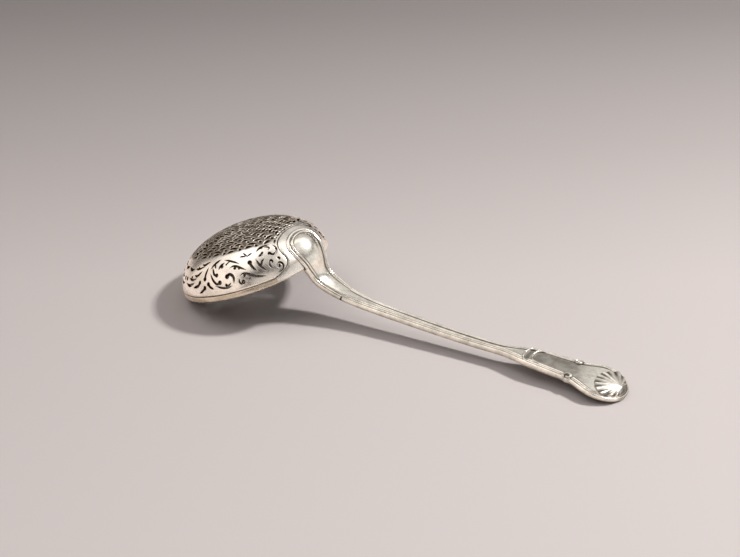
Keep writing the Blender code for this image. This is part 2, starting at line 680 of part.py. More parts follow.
def make_neck(material):
    # The drop lies on the heel plate, and the neck below it hooks in under the rim wire.
    lip, ledge = SEAT_GAP, 3 * SEAT_GAP
    end = RUN["seam"] - SEAT_GAP / 2
    neck_steps, drop_steps, arch_steps = 8, 6, 9
    runs = [end + (ledge - end) * i / neck_steps for i in range(neck_steps + 1)]
    runs += [lip - (lip + DROP_WIDEST) * i / drop_steps for i in range(drop_steps + 1)]
    stations = [(run, HALF_WIDTH(run)) for run in runs]
    stations += round_end(-DROP_WIDEST, -DROP_TOP, DROP_HALF_WIDTH, arch_steps)
    under_rim = TOP_LIFT + LEDGE_DEPTH - RIM_EDGE

    def below(run):
        if run <= lip:
            return run, -DROP_EDGE
        fade = min(run / RUN["foot"], 1.0)
        level = -under_rim + (under_rim - THICKNESS(run)) * fade
        return (lip if run == ledge else run), level

    def middle(run):
        share = min(max((run + DROP_WIDEST) / (RUN["foot"] + DROP_WIDEST), 0.0), 1.0)
        return DROP_CROWN + (-HOLLOW - DROP_CROWN) * share * share * (3 - 2 * share)

    return threaded_body("neck_drop", stations, below, middle, lambda run: 1.0, material)


def make_stem(material):
    start = RUN["seam"] + SEAT_GAP / 2
    stem_steps, shoulder_steps, knot_steps, arch_steps = 12, 6, 10, 9
    knot_from, knot_to = RUN["knot"] - KNOT_LENGTH, RUN["knot"] + KNOT_LENGTH
    runs = [start + (RUN["waist"] - start) * i / stem_steps for i in range(stem_steps)]
    runs += [RUN["waist"] + (knot_from - RUN["waist"]) * i / shoulder_steps for i in range(shoulder_steps)]
    runs += [knot_from + (knot_to - knot_from) * i / knot_steps for i in range(knot_steps)]
    runs += [knot_to + (RUN["end"] - knot_to) * i / 4 for i in range(5)]
    stations = [(run, HALF_WIDTH(run) + knot_bulge(run)) for run in runs]
    stations += round_end(RUN["end"], RUN["tip"], END_HALF_WIDTH, arch_steps)

    def below(run):
        return run, -THICKNESS(run)

    def thread_scale(run):
        share = min(max((run - RUN["knot"]) / (RUN["end"] - RUN["knot"]), 0.0), 1.0)
        return 1 + (END_BEAD / BEAD - 1) * share

    return threaded_body("stem", stations, below, lambda run: -HOLLOW, thread_scale, material)


def make_shell(material):
    # A scallop fan: ridges and hollows that spread from the hinge, kept inside the handle's border.
    hinge = RUN["tip"] - SHELL_HINGE
    under = SEAT_GAP - min(HOLLOW, THREAD_GROOVE)
    rays = 2 * FLUTES + 1
    shares = (0.16, 0.38, 0.62, 0.86, 1.0)
    mesh = bmesh.new()

    def reach(angle):
        radius = SHELL_RADIUS
        while radius > 0.2 * SHELL_RADIUS:
            run = hinge - radius * math.cos(angle)
            across = abs(radius * math.sin(angle))
            past = max((run - RUN["end"]) / (RUN["tip"] - RUN["end"]), 0.0)
            edge = HALF_WIDTH(run) if past == 0.0 else END_HALF_WIDTH * math.sqrt(max(1 - past * past, 0.0))
            if across < edge - SHELL_BORDER:
                break
            radius -= 0.02 * SHELL_RADIUS
        return radius

    def point(angle, radius, level):
        run = hinge - radius * math.cos(angle)
        return mesh.verts.new(handle_point(run, radius * math.sin(angle), level))

    tops, bottoms = [], []
    for j in range(rays):
        angle = math.radians(SHELL_SPREAD) * (2 * j / (rays - 1) - 1)
        far = reach(angle)
        ridge = 1 if j % 2 else -1
        tops.append([])
        bottoms.append([])
        for share in shares:
            crown = SHELL_EDGE + (SHELL_CROWN - SHELL_EDGE) * (1 - share * share)
            radius = far * share + (SCALLOP * ridge if share == 1.0 else 0.0)
            level = under + crown + 0.5 * FLUTE_DEPTH * ridge * share
            tops[-1].append(point(angle, radius, level))
            bottoms[-1].append(point(angle, radius, under))
    hinge_top = point(0.0, 0.0, under + SHELL_CROWN)
    hinge_under = point(0.0, 0.0, under)
    outer = len(shares) - 1
    for j in range(rays - 1):
        mesh.faces.new((hinge_top, tops[j][0], tops[j + 1][0]))
        mesh.faces.new((hinge_under, bottoms[j + 1][0], bottoms[j][0]))
        for k in range(outer):
            mesh.faces.new((tops[j][k], tops[j][k + 1], tops[j + 1][k + 1], tops[j + 1][k]))
            mesh.faces.new((bottoms[j][k], bottoms[j + 1][k], bottoms[j + 1][k + 1], bottoms[j][k + 1]))
        mesh.faces.new((tops[j][outer], bottoms[j][outer], bottoms[j + 1][outer], tops[j + 1][outer]))
    for j in (0, rays - 1):
        mesh.faces.new((hinge_top, hinge_under, bottoms[j][0], tops[j][0]))
        for k in range(outer):
            mesh.faces.new((tops[j][k], bottoms[j][k], bottoms[j][k + 1], tops[j][k + 1]))
    return finish("shell_ornament", mesh, material)


def main():
    for old in list(bpy.data.objects):
        bpy.data.objects.remove(old, do_unlink=True)
    make_bowl(silver("raised silver sheet", SILVER, 0.16))
    make_rim(silver("drawn silver wire", SILVER, 0.14))
    make_plate(silver("polished silver plate", SILVER, 0.12))
    make_neck(silver("forged silver neck", WORN_SILVER, 0.14))
    make_stem(silver("struck silver stem", WORN_SILVER, 0.18))
    make_shell(silver("cast silver shell", CAST_SILVER, 0.22))


main()
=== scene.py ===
# Sugar sifter spoon in antique silver, dressed over its solids. Metres, bowl towards -X, handle towards +X.
import math

import bpy
import numpy as np
from mathutils import Matrix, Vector
from mathutils.geometry import delaunay_2d_cdt


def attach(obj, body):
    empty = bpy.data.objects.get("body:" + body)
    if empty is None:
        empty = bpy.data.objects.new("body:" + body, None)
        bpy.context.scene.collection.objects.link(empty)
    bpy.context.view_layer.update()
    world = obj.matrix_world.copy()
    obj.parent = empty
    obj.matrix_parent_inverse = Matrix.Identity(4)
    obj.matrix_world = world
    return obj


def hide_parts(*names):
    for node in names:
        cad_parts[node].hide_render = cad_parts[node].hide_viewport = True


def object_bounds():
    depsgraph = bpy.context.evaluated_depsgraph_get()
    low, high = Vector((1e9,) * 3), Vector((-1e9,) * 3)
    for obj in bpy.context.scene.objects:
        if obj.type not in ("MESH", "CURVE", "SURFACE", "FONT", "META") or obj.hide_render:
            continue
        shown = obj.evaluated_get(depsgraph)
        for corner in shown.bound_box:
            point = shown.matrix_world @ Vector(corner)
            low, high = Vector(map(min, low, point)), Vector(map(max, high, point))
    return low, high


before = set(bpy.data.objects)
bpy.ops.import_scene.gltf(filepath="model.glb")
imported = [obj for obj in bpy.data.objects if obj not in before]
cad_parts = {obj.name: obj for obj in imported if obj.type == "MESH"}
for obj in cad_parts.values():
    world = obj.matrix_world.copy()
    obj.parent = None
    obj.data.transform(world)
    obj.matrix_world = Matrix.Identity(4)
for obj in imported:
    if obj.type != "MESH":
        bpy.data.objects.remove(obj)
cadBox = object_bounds()
mm = 0.001
print("frame loaded:", sorted(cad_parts))


def linear(hexColour):
    # sRGB hex to linear colour
    channels = []
    for i in (1, 3, 5):
        c = int(hexColour[i:i + 2], 16) / 255
        channels.append(c / 12.92 if c <= 0.04045 else ((c + 0.055) / 1.055) ** 2.4)
    return (*channels, 1.0)


def feed(node, inputs):
    # an input is a value or the output of another node
    for key, value in inputs.items():
        if isinstance(value, bpy.types.NodeSocket):
            node.id_data.links.new(value, node.inputs[key])
        else:
            node.inputs[key].default_value = value


def addNode(tree, kind, output, inputs=None, **settings):
    node = tree.nodes.new("ShaderNode" + kind)
    for key, value in settings.items():
        setattr(node, key, value)
    feed(node, inputs or {})
    return node.outputs[output]


def noise(tree, place, size, detail, roughness=0.5):
    values = {"Vector": place, "Scale": 1 / (size * mm), "Detail": detail, "Roughness": roughness}
    return addNode(tree, "TexNoise", "Fac", values)


def mapRange(tree, value, low, high, toLow=0.0, toHigh=1.0):
    values = {"Value": value, "From Min": low, "From Max": high, "To Min": toLow, "To Max": toHigh}
    return addNode(tree, "MapRange", "Result", values)


def mixColour(tree, share, first, second):
    # a colour mix has its factor at input 0, its colours at 6 and 7 and its result at output 2
    return addNode(tree, "Mix", 2, {0: share, 6: first, 7: second}, data_type="RGBA")


def calculate(tree, operation, *terms, **settings):
    return addNode(tree, "Math", "Value", dict(enumerate(terms)), operation=operation, **settings)


def newMaterial(name):
    material = bpy.data.materials.new(name)
    material.use_nodes = True
    return material, material.node_tree, material.node_tree.nodes["Principled BSDF"]


def oldSilver(name, look):
    # Sterling silver, hand polished for two centuries: bright warm metal, faint grey-green tarnish in
    # clouds, a mesh of hairline scratches, and dark brown polish residue in every hollow, mixed with painted
    # shade.
    material, tree, shader = newMaterial(name)
    place = addNode(tree, "TexCoord", "Object")
    cloud = noise(tree, place, look["cloudSize"], 4.0, 0.62)
    tarnish = mapRange(tree, cloud, 0.42, 0.72, 0.0, look["tarnish"])
    metal = mixColour(tree, tarnish, linear(look["metal"]), linear(look["tarnished"]))
    # hairlines are about 0.05 mm wide, drawn at the size given so that they still show
    turned = addNode(tree, "Mapping", "Vector",
                     {"Vector": place, "Rotation": (0.0, 0.3, 0.5), "Scale": (0.16, 1.0, 1.0)})
    hair = noise(tree, turned, look["hairSize"], 3.0, 0.7)
    polish = mapRange(tree, hair, 0.3, 0.75, look["roughness"] - 0.04, look["roughness"] + 0.09)
    scratches = {"Height": hair, "Strength": look["hairDepth"], "Distance": 0.04 * mm}
    # the residue and the painted shade are thicker in some clouds and thinner in others
    residueAndShade = addNode(tree, "Attribute", "Fac", attribute_name="residueAndShade")
    thick, thin = 1 / (1 + look["patchy"]), 1 + look["patchy"]
    stainAndShade = calculate(tree, "POWER", residueAndShade, mapRange(tree, cloud, 0.36, 0.64, thin, thick), use_clamp=True)
    feed(shader, {"Base Color": mixColour(tree, stainAndShade, metal, linear(look["dirtAndShade"])),
                  "Roughness": calculate(tree, "MULTIPLY_ADD", residueAndShade, 0.35, polish),
                  "Normal": addNode(tree, "Bump", "Normal", scratches), "Metallic": 1.0})
    return material


sheetSilver = oldSilver("raised silver sheet", {
    "metal": "#F5EEE6", "tarnished": "#B3AB9B", "dirtAndShade": "#44331C", "cloudSize": 7.0, "tarnish": 0.5,
    "hairSize": 0.7, "hairDepth": 0.12, "roughness": 0.25, "patchy": 0.5})
# the wire's metal and tarnish are darker than the sheet's: painted shade
wireSilver = oldSilver("drawn silver wire", {
    "metal": "#D2C5B4", "tarnished": "#958A78", "dirtAndShade": "#3A2E22", "cloudSize": 5.0, "tarnish": 0.55,
    "hairSize": 0.8, "hairDepth": 0.1, "roughness": 0.25, "patchy": 0.3})
forgedSilver = oldSilver("forged and burnished silver", {
    "metal": "#F1ECE3", "tarnished": "#989788", "dirtAndShade": "#2E2720", "cloudSize": 4.0, "tarnish": 0.4,
    "hairSize": 0.6, "hairDepth": 0.06, "roughness": 0.22, "patchy": 0.2})
shellSilver = oldSilver("chased silver shell", {
    "metal": "#F3EEE5", "tarnished": "#A09A89", "dirtAndShade": "#2A231C", "cloudSize": 3.0, "tarnish": 0.45,
    "hairSize": 0.5, "hairDepth": 0.1, "roughness": 0.22, "patchy": 0.3})
print("silver mixed")


# Shape shared by all the pieces. A place on the bowl is its climb (along the wall from the mouth),
# its turn (round the bowl from the handle's side) and its lift off the wall.
bowl = {"radius": 0.0337, "depth": 0.0212, "fullness": 2.23, "tilt": math.radians(21.4), "sheet": 0.0013,
        "lowerEdge": 0.00254, "rimEdge": 0.0003, "restDepth": 0.0002}
handle = {"threadLift": 0.0013, "dropWidest": 0.0090, "dropTop": 0.0173, "dropHalf": 0.0106,
          "seamGap": 0.00004, "bend": (0.0030, 0.0040), "tip": 0.1459,
          "stations": ((0.0091, 0.0160), (0.0152, 0.0139), (0.0341, 0.0111), (0.0633, 0.0089),
                       (0.0883, 0.0080), (0.1048, 0.0080), (0.1219, 0.0068), (0.1340, 0.0054),
                       (0.1459, 0.0021)),
          "names": ("bend", "foot", "seam", "taper", "middle", "waist", "shoulder", "knot", "end", "tip"),
          "halfWidths": {"bend": 0.0067, "foot": 0.0058, "seam": 0.0050, "taper": 0.0036, "waist": 0.00305,
                         "shoulder": 0.0063, "knot": 0.0076, "end": 0.0114},
          "rimBackHalf": 0.0084,
          "thickness": {"seam": 0.0029, "taper": 0.0032, "shoulder": 0.0032, "end": 0.0027}}


def chordLengths(points):
    return np.append(0.0, np.cumsum(np.hypot(*np.diff(points, axis=0).T)))


def polar(radius, angle):
    return np.stack((radius * np.cos(angle), radius * np.sin(angle)), -1)


angles = np.linspace(0.0, math.pi / 2, 3000)
wallRadius = bowl["radius"] * np.abs(np.cos(angles)) ** (2 / bowl["fullness"])
wallHeight = bowl["depth"] * np.abs(np.sin(angles)) ** (2 / bowl["fullness"])
wallClimb = chordLengths(np.stack((wallRadius, wallHeight), -1))
wallLength = float(wallClimb[-1])


def wallAt(climb, lift):
    climb = np.asarray(climb, float)
    power = bowl["fullness"] - 1
    radius = np.interp(climb, wallClimb, wallRadius)
    height = np.where(climb > 0, np.interp(climb, wallClimb, wallHeight), climb)
    slopeR = (radius / bowl["radius"]) ** power / bowl["radius"]
    slopeH = (np.maximum(height, 0) / bowl["depth"]) ** power / bowl["depth"]
    size = np.hypot(slopeR, slopeH)
    return radius + lift * slopeR / size, height + lift * slopeH / size


def lean(along, height):
    reach = along + bowl["radius"]
    cos, sin = math.cos(bowl["tilt"]), math.sin(bowl["tilt"])
    return reach * cos - height * sin, reach * sin + height * cos


tableLevel = lean(bowl["rimEdge"] - bowl["radius"], 0.0)[1] + bowl["restDepth"]
rimBackX, rimBackZ = lean(bowl["radius"], 0.0)
middleX = (lean(-wallRadius, wallHeight)[0].min() + rimBackX + handle["tip"]) / 2


def bowlPoint(climb, turn, lift):
    radius, height = wallAt(climb, lift)
    x, z = lean(radius * np.cos(turn), height)
    return np.stack((x - middleX, radius * np.sin(turn), z - tableLevel), -1)


def naturalCurve(points):
    # cubic through points in the middle plane, against the length along its chords
    points = np.array(points)
    knots = chordLengths(points)
    gaps = np.diff(knots)
    matrix = np.eye(len(points))
    right = np.zeros((len(points), 2))
    for i in range(1, len(points) - 1):
        matrix[i, i - 1:i + 2] = gaps[i - 1], 2 * (gaps[i - 1] + gaps[i]), gaps[i]
        right[i] = 6 * ((points[i + 1] - points[i]) / gaps[i] - (points[i] - points[i - 1]) / gaps[i - 1])
    bends = np.linalg.solve(matrix, right)

    def at(length):
        i = np.clip(np.searchsorted(knots, length) - 1, 0, len(gaps) - 1)
        ahead = (knots[i + 1] - length)[..., None]
        behind = (length - knots[i])[..., None]
        gap = gaps[i][..., None]
        return (bends[i] * ahead ** 3 / (6 * gap) + bends[i + 1] * behind ** 3 / (6 * gap)
                + (points[i] / gap - bends[i] * gap / 6) * ahead
                + (points[i + 1] / gap - bends[i + 1] * gap / 6) * behind)
    return at, knots


pathPoints = [lean(*wallAt(handle["dropWidest"] * share, handle["threadLift"])) for share in (1.0, 0.5, 0.0)]
pathPoints.append((rimBackX + handle["bend"][0], rimBackZ - handle["bend"][1]))
pathPoints += [(rimBackX + reach, tableLevel + height) for reach, height in handle["stations"]]
pathAt, pathKnots = naturalCurve(pathPoints)
run = dict(zip(handle["names"], (pathKnots[3:] - pathKnots[2]).tolist()))


def easyLine(knots):
    # curve through (place, value) knots that never overshoots and lies level at both ends
    places, values = (np.array(column) for column in zip(*knots))
    gaps = np.diff(places)
    slopes = np.diff(values) / gaps
    inner = [2 * a * b / (a + b) if a * b > 0 else 0.0 for a, b in zip(slopes[:-1], slopes[1:])]
    tangents = np.array([0.0, *inner, 0.0])

    def value(at):
        at = np.asarray(at, float)
        i = np.clip(np.searchsorted(places, at) - 1, 0, len(gaps) - 1)
        t = np.clip((at - places[i]) / gaps[i], 0, 1)
        return (values[i] * (1 + 2 * t) * (1 - t) ** 2 + gaps[i] * tangents[i] * t * (1 - t) ** 2
                + values[i + 1] * t * t * (3 - 2 * t) + gaps[i] * tangents[i + 1] * t * t * (t - 1))
    return value


halfWidth = easyLine([(-handle["dropWidest"], handle["dropHalf"]), (0.0, handle["rimBackHalf"])]
                     + [(run[name], half) for name, half in handle["halfWidths"].items()])
thickness = easyLine([(0.0, handle["thickness"]["seam"])]
                     + [(run[name], size) for name, size in handle["thickness"].items()])


def handlePoint(at, across, level):
    # at is the length from the back of the rim, negative up the drop; level is the height over the threads
    at, across, level = np.broadcast_arrays(*(np.asarray(a, float) for a in (at, across, level)))
    lift = handle["threadLift"]
    up = np.maximum(-at, 0.0)
    onBowl = bowlPoint(up, across / wallAt(up, lift)[0], lift + level)
    along = np.maximum(at, 0.0) + pathKnots[2]
    here = pathAt(along)
    ahead = pathAt(along + 1e-5) - pathAt(along - 1e-5)
    ahead /= np.hypot(ahead[..., 0], ahead[..., 1])[..., None]
    back = bowl["radius"] + lift
    sag = (back - np.sqrt(back ** 2 - across ** 2)) * smooth(1 - np.maximum(at, 0.0) / run["foot"])
    x = here[..., 0] - ahead[..., 1] * (level - sag) - middleX
    z = np.maximum(here[..., 1] + ahead[..., 0] * (level - sag) - tableLevel, 0.0)
    onPath = np.stack((x, across, z), -1)
    return np.where((at < 0)[..., None], onBowl, onPath)


def deselect():
    if bpy.context.object and bpy.context.object.mode != "OBJECT":
        bpy.ops.object.mode_set(mode="OBJECT")
    bpy.ops.object.select_all(action="DESELECT")


def grab(piece):
    # the piece alone is selected and active
    deselect()
    piece.select_set(True)
    bpy.context.view_layer.objects.active = piece


def spotsOf(piece):
    spots = np.zeros(len(piece.data.vertices) * 3, np.float32)
    piece.data.vertices.foreach_get("co", spots)
    return spots.reshape(-1, 3).astype(float)


def smooth(t):
    t = np.clip(t, 0, 1)
    return t * t * (3 - 2 * t)


def fade(gap, reach):
    # 1 where there is no gap, 0 where the gap is the reach or more
    return np.clip(1 - gap / reach, 0, 1)


def addObject(name, data):
    item = bpy.data.objects.new(name, data)
    bpy.context.scene.collection.objects.link(item)
    return item


def addShape(operation, name, **settings):
    deselect()
    operation(**settings)
    bpy.context.object.name = name
    return bpy.context.object


def onAll(operation, **settings):
    bpy.ops.mesh.select_all(action="SELECT")
    operation(**settings)


def thicken(piece):
    # the sheet gets a second layer joined round every edge; True marks the upper layer's points
    grab(piece)
    bpy.ops.object.mode_set(mode="EDIT")
    bpy.ops.mesh.select_mode(type="FACE")
    onAll(bpy.ops.mesh.extrude_region)
    bpy.ops.object.mode_set(mode="OBJECT")
    upper = np.zeros(len(piece.data.vertices), bool)
    piece.data.vertices.foreach_get("select", upper)
    return upper


def weld(piece):
    # doubles are merged and faces turned outwards
    grab(piece)
    bpy.ops.object.mode_set(mode="EDIT")
    onAll(bpy.ops.mesh.remove_doubles, threshold=1e-6)
    bpy.ops.mesh.delete_loose()
    onAll(bpy.ops.mesh.normals_make_consistent, inside=False)
    bpy.ops.object.mode_set(mode="OBJECT")


def markResidueAndShade(piece, residueAndShade):
    layer = piece.data.attributes.new("residueAndShade", "FLOAT", "POINT")
    layer.data.foreach_set("value", np.clip(residueAndShade, 0, 1).astype(np.float32))


def settle(piece, points, residueAndShade, material, crease, welded=False):
    # moves the points to their places, marks the residue and painted shade and smooths the piece
    data = piece.data
    points = np.clip(points, cadBox[0], cadBox[1])
    data.vertices.foreach_set("co", points.astype(np.float32).ravel())
    markResidueAndShade(piece, residueAndShade)
    data.update()
    if welded:
        weld(piece)
    grab(piece)
    middle = np.mean(points, axis=0)
    outward = [face.area * np.dot(face.normal, np.array(face.center) - middle) for face in data.polygons]
    if sum(outward) < 0:
        data.flip_normals()
    bpy.ops.object.shade_smooth_by_angle(angle=math.radians(crease))
    data.materials.clear()
    data.materials.append(material)


def hand(piece, node):
    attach(piece, "root")
    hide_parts(node)


def flat(climb, turn):
    # the bowl's wall laid flat in millimetres round its crown
    return polar((wallLength - np.asarray(climb, float)) / mm, turn)


def unflat(points):
    return wallLength - np.hypot(points[:, 0], points[:, 1]) * mm, np.arctan2(points[:, 1], points[:, 0])


def insideLoop(points, loop):
    hit = np.zeros(len(points), bool)
    for (ax, ay), (bx, by) in zip(loop, np.roll(loop, -1, axis=0)):
        if ay != by:
            crosses = (ay > points[:, 1]) != (by > points[:, 1])
            hit ^= crosses & (points[:, 0] < (bx - ax) * (points[:, 1] - ay) / (by - ay) + ax)
    return hit


def edgeDistance(points, loop, closed=True):
    best = np.full(len(points), 1e9)
    for a, b in zip(loop, np.roll(loop, -1, axis=0) if closed else loop[1:]):
        line = b - a
        t = np.clip(((points - a) @ line) / max(line @ line, 1e-12), 0, 1)
        best = np.minimum(best, np.hypot(*(points - a - t[:, None] * line).T))
    return best


# Heel plate: it spreads into the groove over the rim, and between its feet it laps over the rim. Sizes are in
# millimetres from the grid on.
plate = {"base": 0.0007, "groove": 0.00243, "lap": 0.00008, "foot": 0.0035, "top": 0.0201, "half": 0.0133,
         "footSpread": 0.0056, "footRise": 0.0062, "footCurve": 3.0, "proud": 0.0003, "thickness": 0.0005,
         "lapOver": 0.0003, "proudOver": 0.004, "footSteps": 44, "archSteps": 40, "mouthSteps": 60,
         "grid": 0.6, "room": 0.35, "rings": (0.12, 0.28), "ringRoom": 0.08, "edgeRound": 0.55,
         "edgeDrop": 0.26, "dirtAndShade": 0.8, "edgeDarkReach": 0.22, "underDark": 0.3, "crease": 45}


def plateOutline(grow):
    waist = plate["foot"] + plate["footRise"]
    low = np.linspace(plate["base"], waist, plate["footSteps"])[:-1]
    share = (waist - np.maximum(low, plate["groove"])) / plate["footRise"]
    lowHalf = plate["half"] + plate["footSpread"] * share ** plate["footCurve"] + grow * (1 + share)
    arch = np.linspace(0, math.pi / 2, plate["archSteps"])
    climb = np.concatenate((low, waist + (plate["top"] + grow - waist) * np.sin(arch)))
    half = np.concatenate((lowHalf, (plate["half"] + grow) * np.cos(arch)))
    right = flat(climb, half / wallAt(climb, 0.0)[0])
    left = right[-2::-1] * (1, -1)
    turn = half[0] / wallAt(plate["base"], 0.0)[0]
    mouth = flat(plate["base"], np.linspace(-turn, turn, plate["mouthSteps"])[1:-1])
    return np.concatenate((right, left, mouth))


# Pierced bowl. A scroll is one or more strokes cut into each other. A stroke is its round head and its width
# in millimetres, then its line on half the bowl: turn in degrees and climb in percent of the wall.
pierced = {
    "scrolls": (
        ((0, 1.0, (44.4, 38.2), (40.9, 40.6), (36.6, 41.8), (32.6, 41.4), (29.3, 40.6)),
         (1.0, 0, (38.0, 40.3))),
        ((0, 0.75, (35.0, 39.7), (32.3, 38.7), (31.5, 36.9), (33.4, 35.4)),),
        ((1.9, 1.0, (34.2, 30.6), (31.2, 28.2), (27.8, 30.4), (26.1, 34.4), (26.7, 38.2)),),
        ((1.5, 0, (29.6, 22.4)),),
        ((1.9, 1.15, (32.6, 15.7), (31.2, 18.0), (29.3, 15.4), (30.4, 12.2), (34.9, 10.0)),),
        ((1.8, 0.85, (36.2, 22.7), (38.2, 21.3), (38.6, 18.6), (37.4, 15.8)),),
        ((0, 1.15, (47.0, 30.6), (46.5, 26.0), (45.2, 21.0), (42.0, 15.2)),
         (0, 0.95, (40.6, 27.8), (43.6, 25.2), (45.0, 20.2))),
        ((2.0, 1.15, (52.9, 29.6), (52.3, 25.6), (51.2, 22.3), (49.5, 19.0)),),
        ((0, 0.8, (60.8, 39.2), (57.5, 38.7), (54.9, 37.1)),),
        ((0, 0.75, (56.5, 43.0), (55.2, 40.2), (53.2, 36.8)),
         (0, 0.75, (48.0, 39.3), (50.8, 38.4), (53.6, 36.8))),
        ((1.35, 1.1, (40.9, 32.9), (39.8, 34.6), (38.4, 35.7)),
         (0, 1.0, (40.0, 33.6), (42.0, 32.9), (44.0, 32.2))),
        ((1.3, 0, (59.7, 18.5)),
         (0, 1.1, (63.4, 19.0), (61.2, 20.8), (58.2, 20.1), (54.6, 16.9), (49.8, 13.7), (44.6, 11.6))),
        ((0, 0.6, (57.8, 13.8), (55.2, 14.8)),),
        ((1.85, 0.9, (61.7, 13.1), (63.8, 12.1), (64.7, 14.2), (64.2, 17.0)),),
        ((1.35, 0, (66.4, 28.6)), (0.95, 0, (62.9, 27.0)),
         (0, 0.95, (70.9, 30.0), (67.8, 31.2), (64.7, 30.1), (61.4, 27.2), (57.6, 23.6))),
        ((0, 0.85, (76.4, 40.5), (73.0, 39.3), (69.2, 37.2), (65.6, 34.8), (62.2, 31.9)),
         (0.75, 0.5, (74.3, 34.9), (73.0, 36.1), (70.6, 37.6))),
        ((2.1, 1.25, (74.0, 22.2), (72.4, 23.8), (70.1, 22.8), (68.6, 19.6), (69.3, 14.6)),),
        ((0, 0.85, (84.8, 15.4), (81.2, 13.2), (77.6, 11.9), (74.4, 11.5), (71.2, 12.4)),
         (1.2, 0.7, (75.7, 14.3), (74.2, 13.4), (71.6, 15.4)), (0, 0.6, (75.7, 14.2), (75.7, 11.6))),
        ((1.95, 1.0, (80.9, 17.8), (83.4, 16.9), (85.7, 19.1), (88.0, 23.2), (90.0, 28.0)),),
        ((1.75, 1.0, (83.5, 25.5), (85.7, 26.5), (87.2, 30.2), (88.4, 33.4)),),
        ((0, 1.2, (80.6, 42.3), (84.9, 39.7), (88.1, 36.7), (90.6, 32.8)),
         (0, 0.9, (86.6, 38.2), (85.9, 35.8), (85.0, 32.8))),
        ((1.4, 0, (78.5, 33.4)), (0, 1.1, (76.2, 37.4), (78.6, 35.8), (80.5, 33.8), (81.8, 31.2))),
        ((1.8, 1.05, (92.0, 18.1), (90.9, 15.9), (89.4, 14.3), (87.2, 12.7)),),
        ((1.9, 1.05, (95.8, 23.5), (95.6, 27.0), (94.9, 30.8), (93.8, 35.0)),),
        ((1.9, 1.05, (96.0, 14.7), (98.4, 12.1), (102.4, 10.0)),),
        ((1.7, 1.25, (101.6, 20.3), (103.4, 17.3), (106.4, 16.0), (110.0, 15.0)),),
        ((0, 1.3, (122.4, 18.3), (118.0, 16.7), (113.6, 17.5), (109.2, 19.8)),),
        ((0, 1.1, (110.6, 27.6), (106.4, 26.7), (103.6, 28.7), (100.8, 31.7)),),
        ((1.2, 0, (113.9, 25.1)), (0, 0.95, (118.3, 24.2), (114.1, 22.8), (110.4, 22.9), (106.6, 24.3))),
        ((1.8, 0, (122.6, 22.9)),),
        ((0, 1.1, (104.2, 39.7), (100.2, 38.1), (96.8, 39.9), (93.4, 41.6)),),
        ((1.0, 0, (107.3, 35.3)), (0, 0.95, (112.0, 34.3), (107.7, 33.8), (103.2, 35.1), (99.4, 36.2))),
        ((0, 1.3, (124.0, 34.8), (120.2, 32.8), (117.0, 32.5), (113.4, 34.0)),)),
    "frontDots": ((1.7, 180.0, 26.5), (1.4, 180.0, 36.5), (1.3, 180.0, 19.0)),
    "repeatAbout": 125.0, "repeatFrom": 74.0, "bridge": 0.3, "plateClear": 0.3, "narrow": 0.55,
    "thinner": (1.0, 0.85, 0.7, 0.55),
    # crown and plate's row, in millimetres, turns in radians
    "crownShare": 0.502, "crownFront": 0.15, "crownSide": 0.09, "sideTurn": 0.52, "sideSpread": 0.27,
    "crownDip": 0.05, "dipSpread": 0.24, "crownPitch": 1.7, "crownSpacing": 7.9, "crownLeast": 2.5,
    "slotLength": 3.8, "slotWidth": 1.22, "slotArch": 0.4, "slotTilt": 0.24, "stray": 0.1, "dotSize": 1.34,
    "rowGap": 1.25, "rowReach": 31.0, "rowSpacing": 2.5, "rowLength": 2.7, "rowWidth": 0.85, "rowDot": 0.95,
    # points of the sheet, in millimetres
    "grid": 0.55, "room": 0.3, "pocketRoom": 0.6, "ringRoom": 0.1, "edgeRings": (0.12, 0.3),
    "pocketRings": (0.0, 0.16, 0.4), "brinkRings": (0.1, 0.22), "unbroken": 5.0, "onBrink": 0.01,
    # hollows as depth and reach in millimetres, and residue with painted shade as strength and reach; the
    # crown and inside are painted shade
    "pocketGap": 0.22, "pocketDepth": 0.42, "pocketSlope": 0.17, "lip": (0.12, 0.7), "rimGroove": (0.36, 0.8),
    "brink": (0.05, 0.2), "crownBrink": (0.32, 0.5), "brinkPast": 1.4, "brinkDirtAndShade": (0.8, 0.18),
    "rimDirtAndShade": (0.9, 0.4), "lipDirtAndShade": (0.85, 0.3), "insideShade": 0.74,
    "crownShade": (0.38, 0.88), "brinkGlint": (0.06, 0.3), "shadePast": 1.9, "shadeFade": 1.8, "crease": 48}


def leftOf(ahead, least=1e-9):
    # unit vectors to the left of the directions given
    return np.stack((-ahead[:, 1], ahead[:, 0]), -1) / np.maximum(np.hypot(*ahead.T), least)[:, None]


def boxed(points, loop, margin=0.0):
    # which of the points lie in the box round a loop
    low, high = loop.min(axis=0) - margin, loop.max(axis=0) + margin
    return np.where(np.all((points > low) & (points < high), axis=1))[0]


def dot(size, centre):
    a = np.linspace(0, 2 * math.pi, 17)[:-1]
    return np.asarray(centre) + polar(size / 2, a)


def stroke(head, width, spine):
    # a waisted stroke that runs out to a point, from a round head where it has one
    if width == 0:
        return [dot(head, spine[0])]
    curve, knots = naturalCurve(spine)
    s = np.linspace(0, knots[-1], max(12, int(knots[-1] / 0.3)))
    line = curve(s)
    swell = (0.8, 0.95, 1.0, 0.88, 0.52, 0.0) if head else (0.0, 0.62, 1.0, 0.9, 0.5, 0.0)
    half = width / 2 * easyLine(list(zip((0.0, 0.18, 0.4, 0.65, 0.86, 1.0), swell)))(s / knots[-1])
    ahead = curve(np.minimum(s + 0.05, knots[-1])) - curve(np.maximum(s - 0.05, 0))
    side = leftOf(ahead) * half[:, None]
    loop = np.concatenate(((line - side)[:-1], line[-1:], (line + side)[-2:None if head else 0:-1]))
    return [loop, dot(head, spine[0])] if head else [loop]


